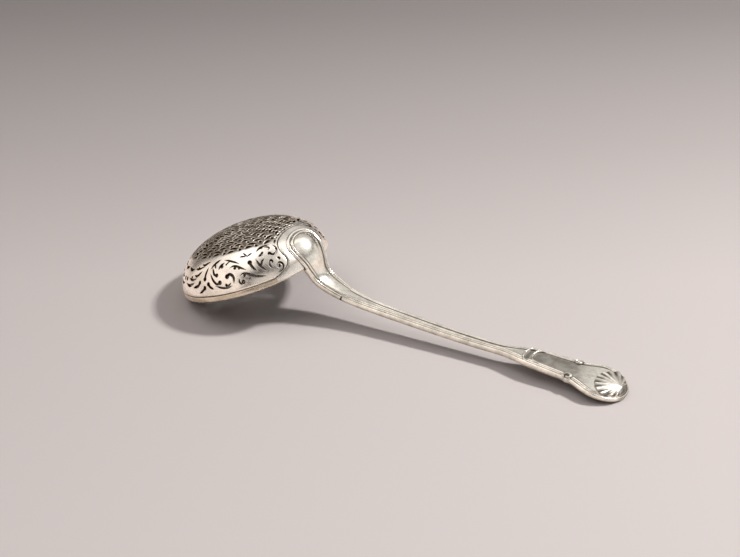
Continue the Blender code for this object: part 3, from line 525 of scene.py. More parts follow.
def roomy(loop, others):
    # True where a hole leaves a sound bridge of metal to all the others
    low, high = loop.min(axis=0) - 1, loop.max(axis=0) + 1
    for other in others:
        if np.any(other.max(axis=0) < low) or np.any(other.min(axis=0) > high):
            continue
        if min(edgeDistance(loop, other).min(), edgeDistance(other, loop).min()) < pierced["bridge"]:
            return False
    return True


def scrollLoops(border):
    # each scroll on both halves of the bowl, made thinner until it has room, and its narrower hole inside
    scrolls = list(pierced["scrolls"])
    about = 2 * pierced["repeatAbout"]
    for scroll in pierced["scrolls"]:
        if min(turn for head, width, *line in scroll for turn, climb in line) > pierced["repeatFrom"]:
            scrolls.append([(head, width, *[(about - turn, climb) for turn, climb in line])
                            for head, width, *line in scroll])
    narrow = pierced["narrow"]
    spots = [(size, flat(climb / 100 * wallLength, math.radians(turn)))
             for size, turn, climb in pierced["frontDots"]]
    loops = [dot(size, spot) for size, spot in spots]
    inners = [dot(size * narrow, spot) for size, spot in spots]
    for side in (-1, 1):
        for scroll in scrolls:
            for thin in pierced["thinner"]:
                cut, inside = [], []
                for head, width, *line in scroll:
                    turns, climbs = np.array(line).T
                    spine = flat(climbs / 100 * wallLength, side * np.radians(turns))
                    cut += stroke(head * thin, width * thin, spine)
                    inside += stroke(head * thin * narrow, width * thin * narrow, spine)
                if all(roomy(loop, loops + [border]) for loop in cut):
                    loops += cut
                    inners += inside
                    break
            else:
                print("no room for a scroll at", scroll[0][2])
    return loops, inners


# a slot's brink, there and back, from end to end and as a share of its width
slotRun = np.concatenate((np.linspace(-1, 1, 10)[:-1], np.linspace(1, -1, 10)[:-1]))
slotHalf = np.repeat((0.5, -0.5), 9) * (1 - np.abs(slotRun) ** 2.4)


def crownReach(turn):
    # the crown's pattern goes further down the front and beside the heel plate, less far over its top
    front = pierced["crownFront"] * np.clip(-np.cos(turn), 0, 1)
    fromSide = (np.abs(turn) - pierced["sideTurn"]) / pierced["sideSpread"]
    dip = pierced["crownDip"] * np.exp(-(turn / pierced["dipSpread"]) ** 2)
    return 1 + front - dip + pierced["crownSide"] * np.exp(-fromSide ** 2)


def crownLoops(others, border):
    # rings of waved slots and dots, turn about, round one dot on the crown, as if cut by eye
    loops = [dot(pierced["dotSize"], (0.0, 0.0))]
    radius, ring = pierced["crownShare"] * wallLength / mm, 0
    while radius > pierced["crownLeast"]:
        pairs = max(3, round(2 * math.pi * radius / pierced["crownSpacing"]))
        for i in range(2 * pairs):
            stray = pierced["stray"] * math.sin(2.4 * i + 1.7 * ring)
            turn = math.pi * (i + 1 + ring % 2 + stray) / pairs
            turn = (turn + math.pi) % (2 * math.pi) - math.pi
            if i % 2:
                out = radius * crownReach(turn)
                loop = dot(pierced["dotSize"], polar(out, turn))
            else:
                tilt = pierced["slotTilt"] * math.sin(3.1 * i + 2.3 * ring)
                at = turn + slotRun * (1 + 0.5 * tilt) * pierced["slotLength"] / 2 / radius
                wave = pierced["slotArch"] * (slotRun ** 2 - 0.4) + tilt * slotRun
                out = radius * crownReach(at) + wave + pierced["slotWidth"] * slotHalf
                loop = polar(out, at)
            if roomy(loop, others + [border]) and not insideLoop(loop, border).any():
                loops.append(loop)
        radius -= pierced["crownPitch"]
        ring += 1
    return loops


def plateRow(others):
    # one row of small slots and dots follows the heel plate's upper edge
    path = plateOutline(pierced["rowGap"] * mm)
    path = path[np.hypot(*path.T) < pierced["rowReach"]]
    along = chordLengths(path)

    def spotAt(length):
        return np.stack([np.interp(length, along, column) for column in path.T], -1)

    loops = []
    count = int(along[-1] / 2 / pierced["rowSpacing"])
    for i in range(-count, count + 1):
        middle = along[-1] / 2 + i * pierced["rowSpacing"]
        if i % 2:
            loop = dot(pierced["rowDot"], spotAt(middle))
        else:
            at = middle + slotRun * pierced["rowLength"] / 2
            ahead = spotAt(at + 0.1) - spotAt(at)
            # past the row's end there is no direction, so its last slots only mark the metal and aren't cut
            with np.errstate(invalid="ignore"):
                loop = spotAt(at) + leftOf(ahead, 0.0) * pierced["rowWidth"] * slotHalf[:, None]
        if roomy(loop, others + loops):
            loops.append(loop)
    return loops


def loopNormals(loop):
    # outwards, whichever way round the loop runs
    left = leftOf(np.roll(loop, -1, axis=0) - np.roll(loop, 1, axis=0))
    area = np.sum(loop[:, 0] * np.roll(loop[:, 1], -1) - np.roll(loop[:, 0], -1) * loop[:, 1])
    return -left if area > 0 else left


def hexPoints(reach, spacing):
    rows = int(reach / (spacing * 0.866)) + 1
    across = int(reach / spacing) + 1
    j, i = np.meshgrid(np.arange(-rows, rows + 1), np.arange(-across, across + 1))
    return np.stack(((i + 0.5 * (j % 2)) * spacing, j * spacing * 0.866), -1).reshape(-1, 2)


def sheetMesh(name, loops, extra):
    # triangles over the first loop, with the other loops left open; extra holds x, y and a value kept in z
    outline = np.concatenate([np.column_stack((loop, np.zeros(len(loop)))) for loop in loops])
    points = np.concatenate((outline, extra))
    edges, first = [], 0
    for loop in loops:
        edges += [(first + i, first + (i + 1) % len(loop)) for i in range(len(loop))]
        first += len(loop)
    found = delaunay_2d_cdt([tuple(p) for p in points[:, :2]], edges, [], 0, 1e-6)
    source = np.array([s[0] if s else 0 for s in found[3]])
    corners = np.array([tuple(v) for v in found[0]])
    triangles = np.array(found[2])
    centres = corners[triangles].mean(axis=1)
    keep = insideLoop(centres, loops[0])
    for loop in loops[1:]:
        near = boxed(centres, loop)
        keep[near[insideLoop(centres[near], loop)]] = False
    used, triangles = np.unique(triangles[keep], return_inverse=True)
    corners, source, triangles = corners[used], source[used], triangles.reshape(-1, 3)
    data = bpy.data.meshes.new(name)
    data.from_pydata(np.column_stack((corners, points[source, 2])).tolist(), [], triangles.tolist())
    piece = addObject(name, data)
    upper = thicken(piece)
    return piece, spotsOf(piece), upper


def sheetPoints(edge, holes, outline):
    # points between the holes, closer round each edge, with each one's gap to the nearest hole
    edgeReach = np.hypot(*edge[0])
    grid = hexPoints(edgeReach, pierced["grid"])
    grid = grid[np.hypot(*grid.T) < edgeReach - pierced["room"]]
    beyond = pierced["pocketGap"]
    clear = np.where(insideLoop(grid, outline), pierced["room"], beyond + pierced["pocketRoom"])
    layers = [(grid[edgeDistance(grid, outline) > clear], pierced["room"])]
    layers += [(edge * (1 - inset / edgeReach), pierced["ringRoom"]) for inset in pierced["edgeRings"]]
    layers += [(outline + loopNormals(outline) * (beyond + out), pierced["ringRoom"])
               for out in pierced["pocketRings"]]
    layers += [(hole + loopNormals(hole) * out, 0.8 * out) for hole in holes for out in pierced["brinkRings"]]
    spots = np.concatenate([points for points, room in layers])
    room = np.concatenate([np.full(len(points), room) for points, room in layers])
    inside = np.hypot(*spots.T) < edgeReach - 0.05
    spots, room = spots[inside], room[inside]
    gap = np.full(len(spots), 1e9)
    for hole in holes:
        near = boxed(spots, hole, 1.0)
        away = edgeDistance(spots[near], hole)
        away[insideLoop(spots[near], hole)] = -1.0
        gap[near] = np.minimum(gap[near], away)
    return np.column_stack((spots, np.minimum(gap, pierced["unbroken"])))[gap > room]


def taperHoles(spots, below, holes, inners):
    # the scrolls were cut from outside and narrow towards the inside
    for hole, inner in zip(holes, inners):
        near = boxed(spots, hole, 0.05)
        near = near[below[near] & (edgeDistance(spots[near], hole) < 0.001)]
        k = np.hypot(*(spots[near, None] - hole).T).T.argmin(axis=1)
        spots[near] += (inner - hole)[k]


def makeBowl():
    edgeReach = (wallLength - bowl["lowerEdge"]) / mm
    a = np.linspace(0, 2 * math.pi, 361)[:-1]
    edge = polar(edgeReach, a)
    border = plateOutline(pierced["plateClear"] * mm)
    holes, inners = scrollLoops(border)
    holes += plateRow(holes)
    holes += crownLoops(holes, border)
    outline = plateOutline(0.0)
    piece, points, upper = sheetMesh("piercedBowl", [edge, *holes], sheetPoints(edge, holes, outline))
    spots, gap = points[:, :2], points[:, 2]
    taperHoles(spots, ~upper & (gap < pierced["onBrink"]), holes, inners)
    climb, turn = unflat(spots)
    fromCrown = np.hypot(*spots.T)
    gap[np.abs(fromCrown - edgeReach) < 0.01] = pierced["unbroken"]
    fromPocket = edgeDistance(spots, outline)
    fromPocket[insideLoop(spots, outline)] *= -1
    fromPocket -= pierced["pocketGap"]
    fromRim = (climb - bowl["lowerEdge"]) / mm
    fromField = fromCrown - pierced["crownShare"] * wallLength / mm * crownReach(turn)
    onCrown = fromField < pierced["brinkPast"]
    drop, reach = (np.where(onCrown, *pair) for pair in zip(pierced["crownBrink"], pierced["brink"]))
    lift = -pierced["pocketDepth"] * (1 - smooth((fromPocket + 0.01) / pierced["pocketSlope"]))
    lift -= drop * fade(gap, reach) ** 2
    for hollow, away in (("lip", fromPocket), ("rimGroove", fromRim)):
        depth, reach = pierced[hollow]
        lift -= depth * fade(away, reach) ** 2
    lift = np.where(upper, lift * mm, -bowl["sheet"])
    # painted shade over the crown, for the dark ceiling its clean metal mirrors, thinner at the hole brinks
    # so that they glint
    brinkShadeLevel, bridgeShadeLevel = pierced["crownShade"]
    glintFrom, glintOver = pierced["brinkGlint"]
    shadedCrown = smooth((pierced["shadePast"] - fromField) / pierced["shadeFade"])
    residueAndShade = shadedCrown * (brinkShadeLevel + (bridgeShadeLevel - brinkShadeLevel) * smooth((gap - glintFrom) / glintOver))
    # residue and painted shade by the hole brinks, in the rim's groove and round the plate's pocket
    for dirtAndShade, away in (("brinkDirtAndShade", gap), ("rimDirtAndShade", fromRim), ("lipDirtAndShade", fromPocket)):
        strength, reach = pierced[dirtAndShade]
        residueAndShade = np.maximum(residueAndShade, strength * fade(away, reach))
    onBrink = gap < pierced["onBrink"]
    # hole walls are painted fully dark, residue and painted shade, and the bowl's inside evenly darker:
    # painted shade
    residueAndShade = np.where(onBrink, 1.0, np.where(upper, residueAndShade, pierced["insideShade"]))
    settle(piece, bowlPoint(climb, turn, lift), residueAndShade, sheetSilver, pierced["crease"])
    hand(piece, "pierced_bowl")
    count = sum(bool(np.isfinite(hole).all()) for hole in holes)
    print("bowl pierced:", count, "holes,", len(piece.data.polygons), "faces")


makeBowl()

# Rim wire: a rounded section spun round the mouth, worn flat where it meets the table
rim = {"height": 0.0024, "thickness": 0.0016, "round": 0.0006, "segments": 5, "steps": 240,
       "dirtAndShade": 0.8, "darkFrom": 0.0022, "darkOver": 0.0002, "crease": 40}


def makeRim():
    piece = addShape(bpy.ops.mesh.primitive_plane_add, "rimWire", size=1.0)
    section = [(climb, lift) for climb in (0.0, rim["height"]) for lift in (-rim["thickness"], 0.0)]
    for vertex, (climb, lift) in zip(piece.data.vertices, section):
        vertex.co = bowlPoint(climb, 0.0, lift)
    centre = (bowlPoint(0.0, 0.0, 0.0) + bowlPoint(0.0, math.pi, 0.0)) / 2
    axis = np.array((-math.sin(bowl["tilt"]), 0.0, math.cos(bowl["tilt"])))
    bpy.ops.object.mode_set(mode="EDIT")
    bpy.ops.mesh.select_mode(type="VERT")
    onAll(bpy.ops.mesh.bevel, offset=rim["round"], segments=rim["segments"], affect="VERTICES")
    onAll(bpy.ops.mesh.delete, type="ONLY_FACE")
    onAll(bpy.ops.mesh.spin, steps=rim["steps"], angle=2 * math.pi, center=centre, axis=axis)
    onAll(bpy.ops.mesh.remove_doubles, threshold=1e-6)
    bpy.ops.mesh.normals_make_consistent(inside=False)
    onAll(bpy.ops.mesh.bisect, plane_co=(0, 0, 0), plane_no=(0, 0, 1), use_fill=True, clear_inner=True,
          threshold=1e-7)
    bpy.ops.object.mode_set(mode="OBJECT")
    points = spotsOf(piece)
    height = (points - centre) @ axis
    # darker along the top edge by the groove: residue and painted shade
    residueAndShade = rim["dirtAndShade"] * np.clip((height - rim["darkFrom"]) / rim["darkOver"], 0, 1)
    settle(piece, points, residueAndShade, wireSilver, rim["crease"])
    hand(piece, "rim_wire")
    print("rim spun")


makeRim()


def makePlate():
    outline = plateOutline(0.0)
    layers = [(hexPoints(wallLength / mm, plate["grid"]), plate["room"])]
    layers += [(plateOutline(-inset * mm), plate["ringRoom"]) for inset in plate["rings"]]
    grid = np.concatenate([spots[insideLoop(spots, outline) & (edgeDistance(spots, outline) > room)]
                           for spots, room in layers])
    piece, points, upper = sheetMesh("heelPlate", [outline], np.column_stack((grid, np.zeros(len(grid)))))
    spots = points[:, :2]
    climb, turn = unflat(spots)
    away = edgeDistance(spots, outline[:2 - plate["mouthSteps"]], closed=False)
    past = climb - plate["groove"]
    onWall = smooth(past / plate["lapOver"] + 0.5)
    top = plate["lap"] + (plate["proud"] - plate["lap"]) * smooth(past / plate["proudOver"])
    top -= plate["edgeDrop"] * mm * onWall * fade(away, plate["edgeRound"]) ** 2
    lift = np.where(upper, top, top - plate["thickness"])
    # darker by the plate's edge, residue and painted shade, and darker all over underneath
    residueAndShade = np.where(upper, plate["dirtAndShade"] * onWall * fade(away, plate["edgeDarkReach"]), plate["underDark"])
    settle(piece, bowlPoint(climb, turn, lift), residueAndShade, sheetSilver, plate["crease"])
    hand(piece, "heel_plate")
    print("heel plate laid")


makePlate()

# Threads along the handle's edges: round beads with dark lines between them, on a slope down to the edge.
# Insets are in millimetres where the swell is 1.
threads = {"neck": {"beads": ((0.43, 0.42), (1.42, 0.26)), "groove": 0.42, "inset": 1.9, "residueAndShade": 0.8},
           "stem": {"beads": ((0.36, 0.36), (1.16, 0.29), (1.92, 0.29)), "groove": 0.38, "inset": 2.4,
                    "residueAndShade": 0.96},
           "columns": 40, "ladder": 14, "corner": 0.75, "cornerShare": 0.35, "bulgeReach": 0.9,
           "darkFrom": 0.5, "darkOver": 0.4, "cleanEdge": 0.5, "grooveDarkReach": 0.4, "sides": 0.5,
           "seamOpen": 0.9, "seamDirt": 0.06,
           "swell": {"drop": 1.65, "rim": 1.6, "foot": 1.45, "seam": 1.3, "taper": 1.2, "waist": 1.1,
                     "shoulder": 1.1, "knot": 1.15, "end": 1.05},
           "slope": {"foot": 0.1, "seam": 0.26, "taper": 0.36, "waist": 0.34, "shoulder": 0.26, "end": 0.25}}


def alongHandle(knots):
    places = {"drop": -handle["dropWidest"], "rim": 0.0, **run}
    return easyLine([(places[name], value) for name, value in knots.items()])


threadSwell, threadSlope = alongHandle(threads["swell"]), alongHandle(threads["slope"])


def threadLevel(inset, cut):
    level = np.full_like(inset, -cut["groove"])
    for centre, half in cut["beads"]:
        bead = -cut["groove"] * (1 - np.sqrt(np.clip(1 - ((inset - centre) / half) ** 2, 0, 1)))
        level = np.maximum(level, bead)
    return level


def gridBlank(name, upperPoints, lowerPoints, folded):
    # a grid with two layers, without the walls that fold flat, and the points, rows and columns of its shape
    rows, columns = upperPoints.shape[:2]
    piece = addShape(bpy.ops.mesh.primitive_grid_add, name,
                     x_subdivisions=rows - 1, y_subdivisions=columns - 1, size=1.0)
    upper = thicken(piece)
    spots = spotsOf(piece)
    for face in piece.data.polygons:
        corners = spots[list(face.vertices)]
        face.select = any(np.abs(corners[:, axis] - side).max() < 1e-4 for axis, side in folded)
    for edge in piece.data.edges:
        edge.select = False
    bpy.ops.object.mode_set(mode="EDIT")
    bpy.ops.mesh.delete(type="ONLY_FACE")
    bpy.ops.object.mode_set(mode="OBJECT")
    i = np.rint((spots[:, 0] + 0.5) * (rows - 1)).astype(int)
    j = np.rint((spots[:, 1] + 0.5) * (columns - 1)).astype(int)
    return piece, np.where(upper[:, None], upperPoints[i, j], lowerPoints[i, j]), upper, i, j


def roundEnd(ats, stop, steps):
    # places along a bar and its half widths there, with a round end added
    angle = np.linspace(0, math.pi / 2, steps + 1)[1:]
    halves = halfWidth(ats)
    halves = np.append(halves, halves[-1] * np.cos(angle))
    halves[-1] = 0.0
    return np.append(ats, ats[-1] + (stop - ats[-1]) * np.sin(angle)), halves


def threadedBar(name, ats, stop, endRows, cut, under, middle, bulge=np.zeros_like):
    # a forged bar: a grid blank is drawn to its outline, threaded along the edges and bent
    ats, halves = roundEnd(ats, stop, endRows)
    forward = 1.0 if ats[-1] > ats[0] else -1.0
    inRun, inAcross = forward * np.gradient(halves), -forward * np.gradient(ats)
    inRun[0], inAcross[0] = 0.0, -1.0
    inRun[-1], inAcross[-1] = -forward, 0.0
    size = np.hypot(inRun, inAcross)
    insets = np.linspace(0, cut["inset"], threads["columns"])
    ladder = np.linspace(0, 1, threads["ladder"] + 1)[1:]
    scales, slopes = threadSwell(ats)[:, None], threadSlope(ats)[:, None]
    atEdge = ats[:, None] + (inRun / size)[:, None] * insets * mm * scales
    acrossEdge = halves[:, None] + (inAcross / size)[:, None] * insets * mm * scales
    swollen = bulge(ats)[:, None] * fade(insets, threads["bulgeReach"]) ** 0.5
    acrossEdge = np.maximum(acrossEdge, 0.0) + swollen
    acrossEdge[-1] = 0.0
    levelEdge = (threadLevel(insets, cut) * scales ** 0.7 - slopes * (cut["inset"] - insets) * scales) * mm
    inmost, groove = acrossEdge[:, -1:], levelEdge[:, -1:]
    atInner = np.repeat(atEdge[:, -1:], len(ladder), axis=1)
    full = np.ones((len(ats), 1))
    full[-endRows:] = np.clip(inmost[-endRows:] / inmost[-endRows - 1], 0, 1)
    levelInner = groove + (middle(atInner) - groove) * full * np.sin(ladder * math.pi / 2)
    at = np.append(atEdge, atInner, axis=1)
    across = np.append(acrossEdge, inmost * (1 - ladder), axis=1)
    level = np.append(levelEdge, levelInner, axis=1)
    corner = threads["corner"]
    rounding = corner * mm * (1 - np.sqrt(1 - fade(insets, corner) ** 2))
    rounding = np.append(rounding, np.zeros(len(ladder)))
    underAt, underLevel = under(at)
    low = underLevel + np.minimum(rounding, -underLevel * threads["cornerShare"])

    def both(values, sign=1):
        return np.append(values, sign * values[:, -2::-1], axis=1)

    upperPoints = handlePoint(both(at), both(across, -1), both(level))
    lowerPoints = handlePoint(both(underAt), both(across, -1), both(low))
    piece, points, upper, i, j = gridBlank(name, upperPoints, lowerPoints, ((0, 0.5),))
    # the grooves darken, residue and painted shade
    sunk = (-threadLevel(insets, cut) / cut["groove"] - threads["darkFrom"]) / threads["darkOver"]
    sunk = np.tile(np.clip(sunk, 0, 1) * (insets > threads["cleanEdge"]), (len(ats), 1))
    sunk = np.append(sunk, fade(inmost * ladder, threads["grooveDarkReach"] * mm), axis=1)
    # sides and underside are painted darker: painted shade
    residueAndShade = np.where(upper, cut["residueAndShade"] * both(sunk)[i, j], threads["sides"])
    # the solder seam between neck and stem, open at one edge
    seam = np.where(points[:, 1] < -threads["seamOpen"] * halves[0], 1.0, threads["seamDirt"])
    return piece, points, np.where(i == 0, seam, residueAndShade), upper


# Drop and neck: a domed drop on the heel plate that narrows into the handle
neck = {"crown": 0.0008, "hollow": 0.0003, "lip": 0.0003, "ledge": 0.0009, "ledgeShare": 1.2,
        "ledgeStep": 0.00003, "dropEdge": 0.0009, "underRim": 0.0028, "rows": (40, 24), "endRows": 34,
        "crease": 60}


def makeNeck():
    neckRows, dropRows = neck["rows"]
    ats = np.append(np.linspace(run["seam"] - handle["seamGap"], neck["ledge"], neckRows),
                    np.linspace(neck["lip"], -handle["dropWidest"], dropRows))

    def under(at):
        deep = -neck["underRim"] + (neck["underRim"] - thickness(at)) * np.clip(at / run["foot"], 0, 1)
        onLedge = (at > neck["lip"]) & (at < neck["ledgeShare"] * neck["ledge"])
        return (np.where(onLedge, neck["lip"] + neck["ledgeStep"], at),
                np.where(at <= neck["lip"], -neck["dropEdge"], deep))

    def middle(at):
        share = smooth((at + handle["dropWidest"]) / (run["foot"] + handle["dropWidest"]))
        return neck["crown"] + (-neck["hollow"] - neck["crown"]) * share

    piece, points, residueAndShade = threadedBar("neckDrop", ats, -handle["dropTop"], neck["endRows"],
                                         threads["neck"], under, middle)[:3]
    settle(piece, points, residueAndShade, forgedSilver, neck["crease"], welded=True)
    hand(piece, "neck_drop")
    print("neck forged")


makeNeck()

# Stem: threaded bar with a knot on each edge, a sunk panel, and a broad round end. Places of dirt, painted
# shade and strokes are millimetres along the handle from the rim's back, then off its axis.
stem = {"middle": {"seam": -0.0003, "taper": -0.0008, "waist": -0.0008, "shoulder": -0.0003, "end": -0.0003},
        "rows": (110, 120), "endRows": 60, "knotBulge": 0.0007, "knotLength": 0.0022, "crease": 60,
        # strength, start, rise, stop and fall
        "middleShade": (0.17, 34, 12, 98, 6), "panelShade": (0.7, 106.5, 2, 125, 11), "panelFade": 0.8,
        # strength, place, and how far it reaches along and across, or round the knot and at the tip
        "bracketDirt": (0.78, 106.1, 1.7, 4.8), "knotDirt": (0.85, 126.0, 6.0, 2.9, 1.2),
        "tipDirt": (0.6, 2.6, 1.4),
        "rope": {"turns": 11, "start": 128.2, "pitch": 0.95, "inset": 1.35, "width": 0.5, "thinner": 0.02,
                 "along": 0.35, "across": 0.5},
        "strokeTaper": 0.22, "strokePoint": 0.1, "strokeSink": 0.12, "strokeDirt": 0.3,
        # width, then places
        "strokes": (
            (0.95, (107.4, 5.2), (105.6, 4.7), (104.5, 3.2), (104.2, 1.2), (104.2, -0.1)),
            (0.75, (112.5, 4.6), (110.2, 4.3), (108.5, 3.2), (107.8, 1.4), (107.7, -0.1)),
            (1.0, (124.0, 6.3), (124.5, 5.2), (125.9, 4.7), (127.0, 5.5), (126.7, 6.7), (125.6, 6.8),
             (125.2, 6.0)),
            (0.75, (127.6, 7.5), (126.6, 8.0), (125.3, 7.9)),
            (0.7, (122.6, 6.1), (124.0, 6.7), (124.7, 7.5)))}


def makeStroke(width, points):
    # half-round raised line, tapered at both ends, laid on the handle's upper side
    knots = np.linspace(0, 1, len(points))
    t = np.linspace(0, 1, 8 * (len(points) - 1) + 1)
    at, across = (easyLine(list(zip(knots, column)))(t) for column in np.array(points).T * mm)
    taper = np.clip(np.minimum(t, 1 - t) / stem["strokeTaper"], stem["strokePoint"], 1)
    fromEdge = (halfWidth(at) - np.abs(across)) / mm
    fall = threadSlope(at) * np.clip(threads["stem"]["inset"] * threadSwell(at) - fromEdge, 0, None)
    line = handlePoint(at, across, -(stem["strokeSink"] + fall) * mm)
    curve = bpy.data.curves.new("stroke", "CURVE")
    curve.dimensions = "3D"
    curve.bevel_depth = 1.0
    curve.bevel_resolution = 3
    curve.use_fill_caps = True
    curve.materials.append(forgedSilver)
    spline = curve.splines.new("POLY")
    spline.points.add(len(t) - 1)
    for point, place, size in zip(spline.points, line, width * mm / 2 * np.sqrt(taper)):
        point.co = (*place, 1.0)
        point.radius = size
    return addObject("stroke", curve)


def stemResidueAndShade(points, residueAndShade, upper):
    line = np.linspace(0, run["tip"], 400)
    at = np.interp(points[:, 0], handlePoint(line, 0.0, 0.0)[:, 0], line) / mm
    across = np.abs(points[:, 1]) / mm

    def span(strength, start, rise, stop, fall):
        return strength * smooth((at - start) / rise) * (1 - smooth((at - stop) / fall))

    # the sunk panel and the stem's middle are painted darker: painted shade for the dark room they mirror
    inner = (halfWidth(at * mm) / mm - threads["stem"]["inset"] - across) / stem["panelFade"]
    panel = np.clip(inner, 0, 1) * span(*stem["panelShade"])
    strength, place, reach, half = stem["bracketDirt"]
    bracket = strength * np.clip(reach - np.abs(at - place), 0, 1) * np.clip(half - across, 0, 1)
    strength, place, off, reach, soft = stem["knotDirt"]
    knot = strength * np.clip((reach - np.hypot(at - place, across - off)) / soft, 0, 1)
    strength, reach, soft = stem["tipDirt"]
    tip = strength * smooth((at - run["tip"] / mm + reach) / soft)
    top = np.max((residueAndShade, span(*stem["middleShade"]), panel, bracket, knot), axis=0)
    return np.maximum(np.where(upper, top, residueAndShade), tip)


def raisedStrokes():
    # brackets and knots, and a rope between the threads from each knot towards the end, as one mesh
    rope = stem["rope"]
    strokes = []
    for side in (-1, 1):
        for width, *points in stem["strokes"]:
            strokes.append(makeStroke(width, [(at, side * across) for at, across in points]))
        for k in range(rope["turns"]):
            at = rope["start"] + rope["pitch"] * k
            across = float(halfWidth(at * mm)) / mm - rope["inset"] - rope["thinner"] * k
            ends = [(at + end * rope["along"], side * (across + end * rope["across"])) for end in (-1, 1)]
            strokes.append(makeStroke(rope["width"] - rope["thinner"] * k, ends))
    deselect()
    for stroke in strokes:
        stroke.select_set(True)
    bpy.context.view_layer.objects.active = strokes[0]
    bpy.ops.object.convert(target="MESH")
    bpy.ops.object.join()
    raised = bpy.context.object
    weld(raised)
    markResidueAndShade(raised, np.full(len(raised.data.vertices), stem["strokeDirt"]))
    return raised, len(strokes)


def makeStem():
    narrowRows, broadRows = stem["rows"]
    ats = np.append(np.linspace(run["seam"] + handle["seamGap"], run["waist"], narrowRows)[:-1],
                    np.linspace(run["waist"], run["end"], broadRows))

    def bulge(at):
        return stem["knotBulge"] * np.exp(-((at - run["knot"]) / (stem["knotLength"] / 2)) ** 2)

    def under(at):
        return at, -thickness(at)

    piece, points, residueAndShade, upper = threadedBar("threadedStem", ats, run["tip"], stem["endRows"],
                                                threads["stem"], under, alongHandle(stem["middle"]), bulge)
    settle(piece, points, stemResidueAndShade(points, residueAndShade, upper), forgedSilver, stem["crease"], welded=True)
    raised, count = raisedStrokes()
    grab(piece)
    raised.select_set(True)
    bpy.ops.object.join()
    bpy.ops.object.shade_smooth_by_angle(angle=math.radians(stem["crease"]))
    hand(piece, "stem")
    print("stem forged:", count, "raised strokes")


makeStem()

# Shell: concave flutes between sharp ridges, spread from a hinge near the handle's tip and short behind it.
# Pairs are for the short flutes and the long ones, in millimetres.
shell = {"radius": 0.0104, "hinge": 0.0035, "border": 0.0012, "flutes": 20, "columns": 12, "rows": 34,
         "shrink": 0.985, "tries": 160, "crowded": 0.9, "short": 0.0025, "grow": 0.004, "lobe": 0.035,
         "edge": (0.1, 0.6), "crown": 1.25, "hollow": (0.3, 0.8), "under": 0.0001, "sunk": 0.0002,
         # strength, start and soft reach
         "backDirt": (0.7, 1.5, 0.5), "hingeClean": 0.4, "fluteDirtAndShade": (0.95, 0.35, 0.45), "sideDark": 0.6,
         "crease": 42}


def makeShell():
    hinge, reach = run["tip"] - shell["hinge"], run["tip"] - run["end"] - shell["border"]
    angle = np.linspace(-math.pi, math.pi, shell["flutes"] * shell["columns"] + 1)
    far = np.full(len(angle), shell["radius"])
    for k in range(shell["tries"]):
        at, across = hinge - far * np.cos(angle), np.abs(far * np.sin(angle))
        past = np.clip(at - run["end"], 0, None) / reach
        outside = (across / (halfWidth(np.minimum(at, run["end"])) - shell["border"])) ** 2 + past ** 2 > 1
        far = np.where(outside, far * shell["shrink"], far)
    share = np.linspace(0, 1, shell["rows"]) ** shell["crowded"]
    outward = share[:, None]
    lobe = np.sin(math.pi * np.mod((angle / math.pi + 1) / 2 * shell["flutes"] + 0.5 + 1e-9, 1))
    front = smooth((far - shell["short"]) / shell["grow"])
    edge, deep = (short + (long - short) * front for short, long in (shell["edge"], shell["hollow"]))
    radius = far * outward * (1 + shell["lobe"] * lobe * front * outward ** 3)
    crown = edge + (shell["crown"] - edge) * (1 - outward ** 1.6)
    level = (crown - deep * outward ** 1.3 * lobe ** 1.7) * mm + shell["under"]
    at, across = hinge - radius * np.cos(angle), radius * np.sin(angle)
    piece, points, upper, i, j = gridBlank(
        "chasedShell", handlePoint(at, across, level),
        handlePoint(at, across, stem["middle"]["end"] - shell["sunk"]), ((0, -0.5), (1, -0.5), (1, 0.5)))
    strength, start, soft = shell["backDirt"]
    behind = strength * smooth((np.abs(angle) - start) / soft)[j] * smooth(share[i] / shell["hingeClean"])
    # flutes darken towards their outer ends, residue and painted shade; the sides and underside are darker
    strength, start, soft = shell["fluteDirtAndShade"]
    flutes = strength * np.clip((share[i] - start) / soft, 0, 1) * lobe[j] ** 1.6
    residueAndShade = np.where(upper, np.maximum(behind, flutes), shell["sideDark"])
    settle(piece, points, residueAndShade, shellSilver, shell["crease"], welded=True)
    hand(piece, "shell_ornament")
    print("shell chased")


makeShell()

